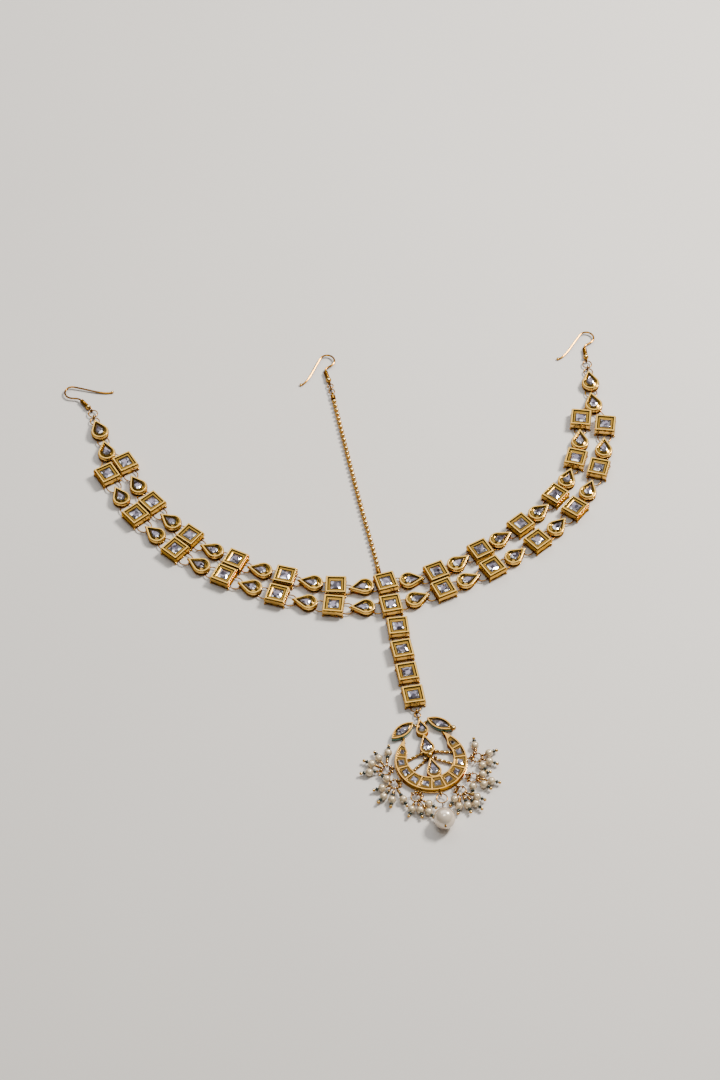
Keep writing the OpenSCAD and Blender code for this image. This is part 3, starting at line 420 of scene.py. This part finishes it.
# Burnished foil: browner than the rim, with fine rub marks
foil_gold = gold("burnished_gold_foil", "#8E6E2E", "#7E6026", "#5C4216", "#1E1204",
                 rough=0.12, reach=0.7 * mm, grain=1.1 * mm)
outline = pear_path(pear_l, pear_w, rim_t - foil_gap, pear_foil_pitch)
pear_lip = lip(rim_z=pear_h - 0.04 * mm, stone_z=3.0 * mm, trough=2.94 * mm, roll=3.2 * mm)
one = slope(outline, matched(pear_foil_l, pear_foil_w, len(outline)), pear_lip, "pear_bezel")
pear_bezels = join(copies(one, pear_places), "pear_bezels", foil_gold)
drop(one)
bpy.ops.object.shade_smooth_by_angle(angle=fold_angle)
fit(pear_bezels, smooth=False)
rim_w = square_w - 2 * (rim_t - foil_gap)
square_lip = lip(rim_z=square_h - 0.06 * mm, stone_z=3.9 * mm, trough=4.16 * mm, roll=4.08 * mm)
one = slope(sides(box_corners(rim_w, rim_w), 2), sides(box_corners(square_foil_w, square_foil_w), 2),
            square_lip, "square_bezel")
square_bezels = join(copies(one, square_places), "square_bezels", foil_gold)
drop(one)
fit(square_bezels, smooth=False)

# WALL BANDS
# A plain band of strip brass soldered round each cup under its rim. It stands a
# little proud, flat on the squares and domed on the pears, with a dark line above.
band_t = 0.32 * mm
# Each band's form from the cup's wall outwards and down: (share of its thickness, height)
square_band_form = [(0, 3.82 * mm), (0.7, 3.82 * mm), (1, 3.72 * mm), (1, 2.02 * mm), (0, 1.94 * mm)]
pear_band_form = [(0, 3.16 * mm), (0.4, 3.12 * mm), (0.72, 2.98 * mm), (0.93, 2.74 * mm), (1, 2.42 * mm),
                  (1, 2.0 * mm), (0, 1.92 * mm)]
pear_band_n = 44

# Plated strip: its wall painted as bright as a rim, a painted highlight on each cup's side
band_gold = gold("gold_plated_strip", "#E4B860", "#D6A64E", "#DEB060", "#4A300E",
                 rough=0.19, reach=0.8 * mm, grain=0.9 * mm)
band_w = square_w + 2 * band_t
one = slope(sides(box_corners(square_w, square_w), 2), sides(box_corners(band_w, band_w), 2),
            square_band_form, "square_band")
square_bands = join(copies(one, square_places), "square_bands", band_gold)
drop(one)
fit(square_bands, smooth=False)
one = slope(matched(pear_l, pear_w, pear_band_n), matched(pear_l, pear_w, pear_band_n, -band_t),
            pear_band_form, "pear_band")
pear_bands = join(copies(one, pear_places), "pear_bands", band_gold)
drop(one)
bpy.ops.object.shade_smooth_by_angle(angle=fold_angle)
fit(pear_bands, smooth=False)

# STONES
# Foiled glass: flat-backed cut stones over silver foil, their facets painted white,
# lilac grey and dark grey at random as painted reflections. They lie clear in their seats.
flash_w = 1.6 * mm


def foiled_glass(name, cell):
    """Clear glass over silver foil: a lilac grey table broken by painted inner reflections,
    and facets round it painted grey to white as painted glints."""
    material, tree, place = new_material(name)
    cells = add_node(tree, "ShaderNodeTexVoronoi", {"Scale": 1 / cell, "Randomness": 0.9}, {"Vector": place},
                     feature="F1")
    split = add_node(tree, "ShaderNodeSeparateColor", {}, {0: cells.outputs["Color"]})
    face = add_node(tree, "ShaderNodeNewGeometry")
    way = add_node(tree, "ShaderNodeSeparateXYZ", {}, {0: face.outputs["Normal"]})
    level = add_node(tree, "ShaderNodeMapRange", {"From Min": 0.95, "From Max": 0.99},
                     {"Value": way.outputs["Z"]})
    # Painted reflections: the level table takes random cells from dark to lilac grey, and the sloping facets
    # random cells from grey to white as painted glints
    centre = add_node(tree, "ShaderNodeMix", {6: srgb("#241F2A"), 7: srgb("#948B9E")}, {0: split.outputs[0]},
                      data_type="RGBA")
    edge = add_node(tree, "ShaderNodeMix", {6: srgb("#77707E"), 7: srgb("#FFFFFF")}, {0: split.outputs[1]},
                    data_type="RGBA")
    painted_flash = add_node(tree, "ShaderNodeMix", {},
                    {0: level.outputs[0], 6: edge.outputs[2], 7: centre.outputs[2]}, data_type="RGBA")
    tilt = add_node(tree, "ShaderNodeVectorMath", {1: (0.5, 0.5, 0.5)}, {0: cells.outputs["Color"]},
                    operation="SUBTRACT")
    lean = add_node(tree, "ShaderNodeVectorMath", {"Scale": 0.4}, {0: tilt.outputs[0]}, operation="SCALE")
    bent = add_node(tree, "ShaderNodeVectorMath", {}, {0: face.outputs["Normal"], 1: lean.outputs[0]},
                    operation="ADD")
    unit = add_node(tree, "ShaderNodeVectorMath", {}, {0: bent.outputs[0]}, operation="NORMALIZE")
    shader = add_node(tree, "ShaderNodeBsdfPrincipled",
                      {"Metallic": 0.9, "Roughness": 0.06, "Coat Weight": 0.6, "Coat Roughness": 0.02,
                       "Coat IOR": 1.52},
                      {"Base Color": painted_flash.outputs[2], "Normal": unit.outputs[0],
                       "Coat Normal": unit.outputs[0]})
    add_node(tree, "ShaderNodeOutputMaterial", {}, {"Surface": shader.outputs[0]})
    return material


# Clear glass on silver foil: the same in all the settings and in the pendant
clear_glass = foiled_glass("foiled_glass_clear", flash_w)
coat([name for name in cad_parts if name.endswith(("_stones", "_stone")) or "_stone_" in name],
     clear_glass)

# RINGS
# Round jump rings of drawn brass wire, gold plated, that join the settings, and
# four long links at the single pears.

# Drawn wire: plain and smooth, a deeper gold than the cast cups
drawn_gold = gold("gold_plated_drawn_wire", "#C68E34", "#9E6C1E", "#6E4812", "#2E1A06",
                  rough=0.16, reach=0.5 * mm, grain=0.8 * mm)
coat(["centre_rings", "left_inner_rings", "left_outer_rings", "right_inner_rings", "right_outer_rings",
      "left_end_rings", "right_end_rings", "chain_rings", "pendant_rings", "chain_caps"], drawn_gold)

# HOOKS
# Ear-wire hooks of hard brass wire, gold plated, each with a close coil and a
# polished ball over its eye, and a small round bead on the end of its tail.

# Each hook's eye, the heading of its shank, and the side that its tail points to.
hooks = {"left_hook": ((-131.195 * mm, 97.428 * mm), 130, 1),
         "right_hook": ((90.842 * mm, 126.387 * mm), 96, -1),
         "centre_hook": ((-24.770 * mm, 112.909 * mm), 106, -1)}
hook_z = 1.25 * mm
hook_ball_d, hook_ball_reach = 2.46 * mm, 1.95 * mm
tail_bead_d, tail_bead_z = 1.3 * mm, 0.66 * mm
tail_end_l = 0.3 * mm

# Polished balls: the palest of the gold, painted pale as a painted highlight on their small round tops
ball_gold = gold("gold_plated_balls", "#FFE8AC", "#F6C872", "#BC8636", "#2E1C08",
                 rough=0.15, reach=0.4 * mm, grain=1.2 * mm)
coat(hooks, drawn_gold)
round_ends = []
for name, (eye, way, side) in hooks.items():
    round_ends.append(bead(hook_ball_d, Vector((*eye, hook_z)) + hook_ball_reach * along(way), 20, 12))
    points = [v.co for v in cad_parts[name].data.vertices]
    tail_x = max(side * point.x for point in points)
    tail = [point for point in points if side * point.x > tail_x - tail_end_l]
    middle = sum(tail, Vector()) / len(tail)
    round_ends.append(bead(tail_bead_d, (middle.x, middle.y, tail_bead_z), 14, 9))
hook_balls = join(round_ends, "hook_balls", ball_gold)
fit(hook_balls)

# BALL CHAIN
# Hollow brass balls pressed over short bars, gold plated: 39 balls from cap to cap.
# It runs from the crossing square up to the third hook, and bends a little.
ball_d = 2.1 * mm
chain_l = 97 * mm
ball_n = 39
chain_headings = [(0, 99), (0.1, 103), (0.5, 101.5), (1, 101)]
chain_z = 1.25 * mm
chain_eye = Vector((-0.18 * square_w, 3.875 * mm, chain_z))
chain_rings_l, chain_cap_l = 2.2 * mm, 3.14 * mm
bar_d, bar_l = 0.4 * mm, 0.9 * mm
route_n = 28

route = [Matrix.Rotation(math.radians(column[0][0]), 4, "Z") @ chain_eye
         + (chain_rings_l + chain_cap_l) * along(chain_headings[0][1])]
for k in range(route_n):
    route.append(route[-1] + chain_l / route_n * along(at_share(chain_headings, (k + 0.5) / route_n)))


def on_chain(s):
    """The place on the chain at a share s of its length, and its heading there."""
    k = min(route_n - 1, int(s * route_n))
    return route[k].lerp(route[k + 1], s * route_n - k), at_share(chain_headings, s)


one = bead(ball_d, segments=16, rings=10)
balls = copies(one, [on_chain((k + 0.5) / ball_n) for k in range(ball_n)])
bpy.ops.object.select_all(action="DESELECT")
bpy.ops.mesh.primitive_cylinder_add(vertices=8, radius=bar_d / 2, depth=bar_l, rotation=(0, math.pi / 2, 0))
bar = bpy.context.object
bpy.ops.object.transform_apply(location=True, rotation=True, scale=True)
bars = copies(bar, [on_chain(k / ball_n) for k in range(1, ball_n)])
chain = join(balls + bars, "ball_chain", ball_gold)
drop(one, bar)
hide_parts("centre_chain")
fit(chain)

# PENDANT FRAME
# A crescent, three pear cups and two leaf cups soldered together, with twisted wire
# struts, round drops of solder, and a plain wire round the crescent's foot.
pendant_at = Vector((18.443 * mm, -92.197 * mm, 0))
pendant_turn = 13
pendant_h = 2.6 * mm
crescent_r, hole_r, hole_y, horn_r = 15 * mm, 9.8 * mm, 1.3 * mm, 8.9 * mm
top_pear_y, upper_pear_y, lower_pear_y = 17.4 * mm, 8.4 * mm, -3.6 * mm
joint_y = 2.4 * mm
inner_l, inner_w = 10.2 * mm, 6.2 * mm
top_l, top_w = 8.6 * mm, 5.2 * mm
leaf_l, leaf_w = 12.2 * mm, 5.4 * mm
leaf_out = 8.1 * mm
leaf_turns = {-1: 209, 1: -39}
strut_d, strut_z = 1.26 * mm, 0.95 * mm
strand_share, strand_offset, strand_pitch = 0.3, 0.25, 3.2
opening_in, horn_in = 0.2 * mm, 0.4 * mm
upper_strut_a, lower_strut_a, horn_strut_back = 8, -26, 4
foot_wire_d, foot_wire_r, foot_wire_z, foot_wire_end_y = 0.6 * mm, 15.05 * mm, 0.32 * mm, 12.2 * mm
pendant_foil_pitch = 0.5 * mm
# How much shorter and narrower than its cup each edge of a foil is
pear_stone_less = (3.9 * mm, 2.5 * mm)
leaf_rim_less, leaf_stone_less = (2.4 * mm, 1.06 * mm), (4.7 * mm, 2.5 * mm)
channel_n, channel_pitch = 11, 24.4
channel_wall_t, channel_divider_t = 0.6 * mm, 0.6 * mm
channel_stone_l, channel_stone_w, horn_stone_share = 2.3 * mm, 2.6 * mm, 0.7
enamel_out, enamel_top, enamel_foot = 0.06 * mm, 2.2 * mm, 0.4 * mm

# The pendant's plate: a shade redder than the settings'
pendant_gold = gold("gold_plated_pendant", "#D2A050", "#8E682E", "#BE8C3C", "#3A2208",
                    rough=0.15, reach=1.4 * mm, grain=0.9 * mm)
# Plate on the drops, the struts and the pin tips, painted pale as a painted highlight on these small parts
bright_gold = gold("gold_plated_pin_balls", "#FCDE9C", "#F0C470", "#C48E40", "#50340E",
                   rough=0.18, reach=0.25 * mm, grain=1.2 * mm)
coat(["pendant_frame"], pendant_gold)


def in_pendant(piece):
    """Turns and moves a piece from the pendant's own upright place to where it lies."""
    piece.data.transform(Matrix.Translation(pendant_at) @ Matrix.Rotation(math.radians(pendant_turn), 4, "Z"))
    return piece


def twisted_wire(start, end):
    """Two strands twisted round each other, from start to end at the struts' height."""
    way = end - start
    turns = way.length / (strand_pitch * strut_d)
    strands = []
    for a in (0, math.pi):
        bpy.ops.object.select_all(action="DESELECT")
        bpy.ops.mesh.primitive_circle_add(vertices=6, radius=strand_share * strut_d,
                                          rotation=(math.pi / 2, 0, a),
                                          location=strand_offset * strut_d * along(math.degrees(a)))
        strand = bpy.context.object
        bpy.ops.object.transform_apply(location=True, rotation=True, scale=True)
        twist = strand.modifiers.new("twist", "SCREW")
        twist.axis = "Z"
        twist.screw_offset = way.length
        twist.angle = 2 * math.pi * turns
        twist.steps = twist.render_steps = max(8, round(12 * turns))
        bpy.ops.object.modifier_apply(modifier="twist")
        strands.append(strand)
    rope = join(strands, "strand")
    rope.data.transform(Matrix.Translation(start + Vector((0, 0, strut_z)))
                        @ way.to_track_quat("Z", "Y").to_matrix().to_4x4())
    return rope


def leaf_at(side):
    """The middle of the left leaf for side -1 or of the right leaf for side 1."""
    return Vector((side * leaf_out, top_pear_y, 0))


def beside(side, r, angle, y=0):
    """A point on a circle of radius r round (0, y), on the left for side -1."""
    return Vector((side * r * math.cos(math.radians(angle)), y + r * math.sin(math.radians(angle)), 0))


horn_a = math.degrees(math.asin(crescent_r / (2 * horn_r)))
struts = []
for side in (-1, 1):
    # From the upper pear and from the joint to the edge of the opening
    struts.append((Vector((side * inner_w / 4, upper_pear_y - 0.3 * inner_l, 0)),
                   beside(side, hole_r + opening_in, upper_strut_a, hole_y)))
    struts.append((Vector((0, joint_y, 0)), beside(side, hole_r + opening_in, lower_strut_a, hole_y)))
    # From the horn to the leaf, and from the leaf to the top pear
    struts.append((beside(side, crescent_r - horn_in, horn_a - horn_strut_back), leaf_at(side)))
    struts.append((leaf_at(side) - 0.45 * leaf_l * along(leaf_turns[side]),
                   Vector((0, top_pear_y + 0.12 * top_l, 0))))
ropes = join([twisted_wire(start, end) for start, end in struts], "strut_wires", bright_gold)
fit(in_pendant(ropes))

# Round drops of solder, each a width and a place: large ones on the joint of the two
# inner pears and on the tip of the right leaf, and small ones on both sides below the
# joint and above it
leaf_tip = leaf_at(1) + 0.5 * leaf_l * along(leaf_turns[1])
large_drops = [(2.3 * mm, (0, joint_y, 2.7 * mm)), (2.4 * mm, (leaf_tip.x, leaf_tip.y, 2.6 * mm))]
small_drops = [(1.5 * mm, (2.3 * mm, joint_y - 1.0 * mm, 1.9 * mm)),
               (1.4 * mm, (3.0 * mm, upper_pear_y - 4.0 * mm, 1.8 * mm))]
drops = [bead(d, at, 16, 8) for d, at in large_drops]
drops += [bead(d, (side * x, y, z), 12, 7) for side in (-1, 1) for d, (x, y, z) in small_drops]
solder_drops = join(drops, "solder_drops", bright_gold)
fit(in_pendant(solder_drops))

# Plain wire round the outer foot of the crescent
bpy.ops.object.select_all(action="DESELECT")
bpy.ops.mesh.primitive_torus_add(major_radius=foot_wire_r, minor_radius=foot_wire_d / 2, major_segments=96,
                                 minor_segments=8, location=(0, 0, foot_wire_z))
foot_wire = bpy.context.object
bpy.ops.object.mode_set(mode="EDIT")
bpy.ops.mesh.select_all(action="SELECT")
bpy.ops.mesh.bisect(plane_co=(0, foot_wire_end_y, 0), plane_no=(0, -1, 0), use_fill=True, clear_inner=True)
bpy.ops.object.mode_set(mode="OBJECT")
foot_wire = join([foot_wire], "crescent_foot_wire", wire_gold)
fit(in_pendant(foot_wire))


def leaf_path(l, w, n):
    """Points round a leaf of two bows, from one tip to the other and back."""
    bow = (l * l + w * w) / (4 * w)
    half = math.asin(l / 2 / bow)
    upper = []
    for k in range(n):
        a = half * (1 - 2 * k / n)
        upper.append(Vector((-bow * math.sin(a), w / 2 - bow + bow * math.cos(a), 0)))
    return upper + [Vector((-point.x, -point.y, 0)) for point in upper]


def crescent_in(a):
    """Distance of the crescent's inner edge from its middle at an angle in degrees."""
    a = math.radians(a)
    return max(hole_y * math.sin(a) + math.sqrt(hole_r ** 2 - (hole_y * math.cos(a)) ** 2),
               2 * horn_r * math.sin(a))


# Foil slopes in the three pear cups, the two leaf cups and the channels of the pendant
cup_lip = lip(rim_z=pendant_h - 0.04 * mm, stone_z=2.2 * mm, trough=2.22 * mm, roll=2.36 * mm)
slopes = []
for y, l, w in ((top_pear_y, top_l, top_w), (upper_pear_y, inner_l, inner_w),
                (lower_pear_y, inner_l, inner_w)):
    outer = pear_path(l, w, rim_t - foil_gap, pendant_foil_pitch)
    inner = matched(l - pear_stone_less[0], w - pear_stone_less[1], len(outer))
    strip = slope(outer, inner, cup_lip, "pendant_bezel")
    strip.data.transform(Matrix.Translation((0, y, 0)) @ Matrix.Rotation(math.pi / 2, 4, "Z"))
    slopes.append(strip)
for side, turn in leaf_turns.items():
    outer = leaf_path(leaf_l - leaf_rim_less[0], leaf_w - leaf_rim_less[1], 16)
    inner = leaf_path(leaf_l - leaf_stone_less[0], leaf_w - leaf_stone_less[1], 16)
    strip = slope(outer, inner, cup_lip, "leaf_bezel")
    strip.data.transform(Matrix.Translation(leaf_at(side)) @ Matrix.Rotation(math.radians(turn), 4, "Z"))
    slopes.append(strip)
channel_lip = lip(rim_z=pendant_h - 0.06 * mm, stone_z=2.22 * mm, trough=2.24 * mm, roll=2.32 * mm)
for k in range(channel_n):
    a = -90 + (k - channel_n // 2) * channel_pitch
    share = horn_stone_share if k in (0, channel_n - 1) else 1
    middle_r = (crescent_in(a) + crescent_r) / 2
    half = channel_pitch / 2 - math.degrees(math.asin(channel_divider_t / 2 / middle_r))
    inner = [(crescent_in(b) + rim_t + foil_gap) * along(b) for b in (a - half, a + half)]
    outer = [(crescent_r - channel_wall_t) * along(b) for b in (a - half, a + half)]
    stone = [Matrix.Rotation(math.radians(a), 3, "Z") @ (point + Vector((middle_r, 0, 0)))
             for point in box_corners(share * channel_stone_l, share * channel_stone_w)]
    slopes.append(slope(sides([inner[0], outer[0], outer[1], inner[1]], 4), sides(stone, 4), channel_lip,
                        "channel_bezel"))
# Foil darker and browner than in the settings
channel_foil = gold("dark_brown_gold_foil", "#745828", "#644A20", "#4C3614", "#1A1004",
                    rough=0.14, reach=0.7 * mm, grain=1.1 * mm)
pendant_bezels = join(slopes, "pendant_bezels", channel_foil)
bpy.ops.object.shade_smooth_by_angle(angle=fold_angle)
fit(in_pendant(pendant_bezels), smooth=False)

# Green enamel fired on the outer side walls of the two leaves: deep, glassy and a
# little uneven
enamel, tree, place = new_material("green_vitreous_enamel")
cloud = add_node(tree, "ShaderNodeTexNoise", {"Scale": 1 / (1.2 * mm), "Detail": 3}, {"Vector": place})
green = add_node(tree, "ShaderNodeMix", {6: srgb("#0B3B2A"), 7: srgb("#1B7A58")},
                 {0: cloud.outputs["Fac"]}, data_type="RGBA")
wave = add_node(tree, "ShaderNodeBump", {"Strength": 0.3, "Distance": 0.05 * mm},
                {"Height": cloud.outputs["Fac"]})
shader = add_node(tree, "ShaderNodeBsdfPrincipled",
                  {"Roughness": 0.18, "Coat Weight": 1.0, "Coat Roughness": 0.04},
                  {"Base Color": green.outputs[2], "Normal": wave.outputs[0]})
add_node(tree, "ShaderNodeOutputMaterial", {}, {"Surface": shader.outputs[0]})
walls = []
for side, turn in leaf_turns.items():
    outline = leaf_path(leaf_l + enamel_out, leaf_w + enamel_out, 24)
    band = slope(outline, outline, [(0, enamel_top), (1, enamel_foot)], "enamel_band")
    band.data.transform(Matrix.Translation(leaf_at(side)) @ Matrix.Rotation(math.radians(turn), 4, "Z"))
    walls.append(band)
enamel_walls = join(walls, "leaf_enamel", enamel)
fit(in_pendant(enamel_walls))

# PEARL CLUSTERS
# Small round pearls, each on a head pin with a dark seed bead, looped in bunches on
# rings round the crescent, and one large pearl on its own sloping pin.

# Each cluster's heading from the crescent's middle, and of each of its pins the
# heading and the distance of the pearl from the ring's middle in pearl widths.
clusters = [
    (181, [(72, 2.59), (105, 2.00), (140, 2.03), (176, 2.12)]),
    (205, [(128, 1.29), (185, 1.65), (219, 2.24), (248, 2.26), (282, 2.41)]),
    (238, [(238, 1.85), (270, 1.91), (292, 2.59), (314, 1.79)]),
    (296, [(226, 1.47), (251, 2.29), (278, 2.29), (301, 2.65), (323, 2.18)]),
    (321, [(256, 1.29), (311, 1.65), (335, 2.32), (9, 1.29)]),
    (352, [(84, 1.82), (287, 1.29), (327, 1.62), (11, 1.62)])]
pearl_d = 3.4 * mm
pearl_z = pearl_d / 2
ring_r = 2.25 * mm
eye_l = 2 * mm
cluster_at = crescent_r + eye_l + ring_r
loop_r, loop_wire = 0.72 * mm, 0.44 * mm
loop_turns = (-150, -115, 115, 150, 180)
wrap_r, wrap_wire, wrap_pitch = 0.42 * mm, 0.4 * mm, 0.42 * mm
wrap_start, wraps_most = 0.7, 5
seed_d, seed_l = 1.9 * mm, 1.16 * mm
tip_d, tip_at = 1.4 * mm, 1.8 * mm
long_pin = 2.1

coat(["pearl_wires", "big_pearl_wire"], drawn_gold)


def pearl_skin(name, dark, light, edge):
    """Pearl: a soft deep gloss over a slight drift of tone, with painted shade darkening it towards the edge.
    """
    material, tree, place = new_material(name)
    drift = add_node(tree, "ShaderNodeTexNoise", {"Scale": 1 / (4 * mm), "Detail": 2}, {"Vector": place})
    cream = add_node(tree, "ShaderNodeMix", {6: srgb(dark), 7: srgb(light)}, {0: drift.outputs["Fac"]},
                     data_type="RGBA")
    # Painted shade: the edge colour spreads in towards the outline as the surface turns away from the view
    facing_edge = add_node(tree, "ShaderNodeLayerWeight", {"Blend": 0.42})
    painted_edge_shade = add_node(tree, "ShaderNodeMix", {7: srgb(edge)},
                      {0: facing_edge.outputs["Facing"], 6: cream.outputs[2]}, data_type="RGBA")
    skin = add_node(tree, "ShaderNodeTexNoise", {"Scale": 1 / (0.5 * mm), "Detail": 3}, {"Vector": place})
    dimple = add_node(tree, "ShaderNodeBump", {"Strength": 0.12, "Distance": 0.03 * mm},
                      {"Height": skin.outputs["Fac"]})
    shader = add_node(tree, "ShaderNodeBsdfPrincipled",
                      {"Roughness": 0.24, "Metallic": 0.25, "Specular IOR Level": 1.0,
                       "Coat Weight": 1.0, "Coat Roughness": 0.06, "Coat IOR": 1.7, "Subsurface Weight": 0.05,
                       "Subsurface Radius": (0.8 * mm, 0.6 * mm, 0.4 * mm), "Subsurface Scale": 1.0},
                      {"Base Color": painted_edge_shade.outputs[2], "Normal": dimple.outputs[0]})
    add_node(tree, "ShaderNodeOutputMaterial", {}, {"Surface": shader.outputs[0]})
    return material


# Cream pearl on the small pearls, and a paler, rosier pearl for the large one
coat(["pearls"], pearl_skin("warm_cream_pearl", "#DEC496", "#F4E2BE", "#80603A"))
coat(["big_pearl"], pearl_skin("rose_white_pearl", "#F0DAC0", "#FCF0DC", "#A4866A"))

# Dark seed beads: pressed glass, nearly black with a green cast
jet, tree, place = new_material("dark_green_seed_glass")
streak = add_node(tree, "ShaderNodeTexNoise", {"Scale": 1 / (0.7 * mm), "Detail": 2}, {"Vector": place})
deep = add_node(tree, "ShaderNodeMix", {6: srgb("#060A09"), 7: srgb("#12312A")},
                {0: streak.outputs["Fac"]}, data_type="RGBA")
shader = add_node(tree, "ShaderNodeBsdfPrincipled",
                  {"Roughness": 0.12, "Coat Weight": 1.0, "Coat Roughness": 0.03},
                  {"Base Color": deep.outputs[2]})
add_node(tree, "ShaderNodeOutputMaterial", {}, {"Surface": shader.outputs[0]})


def wire_ring(r, wire, segments, rotation):
    """A closed ring of fine wire, turned about its own middle."""
    bpy.ops.object.select_all(action="DESELECT")
    bpy.ops.mesh.primitive_torus_add(major_radius=r, minor_radius=wire / 2, major_segments=segments,
                                     minor_segments=6, rotation=rotation)
    bpy.ops.object.transform_apply(location=True, rotation=True, scale=True)
    return bpy.context.object


loop = wire_ring(loop_r, loop_wire, 14, (math.pi / 2, 0, 0))
wrap = wire_ring(wrap_r, wrap_wire, 12, (0, math.pi / 2, 0))
seed = bead(seed_d, segments=12, rings=7)
seed.data.transform(Matrix.Diagonal((seed_l / seed_d, 1, 1, 1)))
tip = bead(tip_d, segments=12, rings=7)
loops, wraps, seeds, tips, pearl_spots = [], [], [], [], []
for ring_a, pins in clusters:
    middle = cluster_at * along(ring_a) + Vector((0, 0, pearl_z))
    for angle, share in pins:
        pearl_spots.append(middle + share * pearl_d * along(angle))
        tips.append((pearl_spots[-1] + (pearl_d / 2 + tip_at) * along(angle), angle))
        seeds.append((pearl_spots[-1] + (pearl_d + seed_l) / 2 * along(angle), angle))
    loops += [(middle + ring_r * along(ring_a + a), ring_a + a) for a in loop_turns]
for ring_a, pins in clusters:
    middle = cluster_at * along(ring_a) + Vector((0, 0, pearl_z))
    for angle, share in pins:
        near = (share - 0.5) * pearl_d
        inner = middle + (near - seed_l / 2) * along(angle)
        room = near - ring_r - loop_r - loop_wire / 2
        # A long pin has a second seed bead inside its pearl, where no other pin is in the way
        if (share > long_pin and all((inner - spot).length > (tip_d + seed_d) / 2 for spot, _ in tips)
                and sum((inner - spot).length < (pearl_d + seed_d) / 2 for spot in pearl_spots) == 1):
            seeds.append((inner, angle))
            near, room = near - seed_l, room - seed_l
        loops.append((middle + ring_r * along(angle), angle))
        turns = min(wraps_most, max(0, int(room / wrap_pitch)))
        wraps += [(middle + (near - (k + wrap_start) * wrap_pitch) * along(angle), angle)
                  for k in range(turns)]
wire_loops = join(copies(loop, loops) + copies(wrap, wraps), "pearl_wire_loops", wire_gold)
fit(in_pendant(wire_loops))
seed_beads = join(copies(seed, seeds), "seed_beads", jet)
fit(in_pendant(seed_beads))
pin_tips = join(copies(tip, tips), "pin_tips", bright_gold)
fit(in_pendant(pin_tips))
drop(loop, wrap, seed, tip)
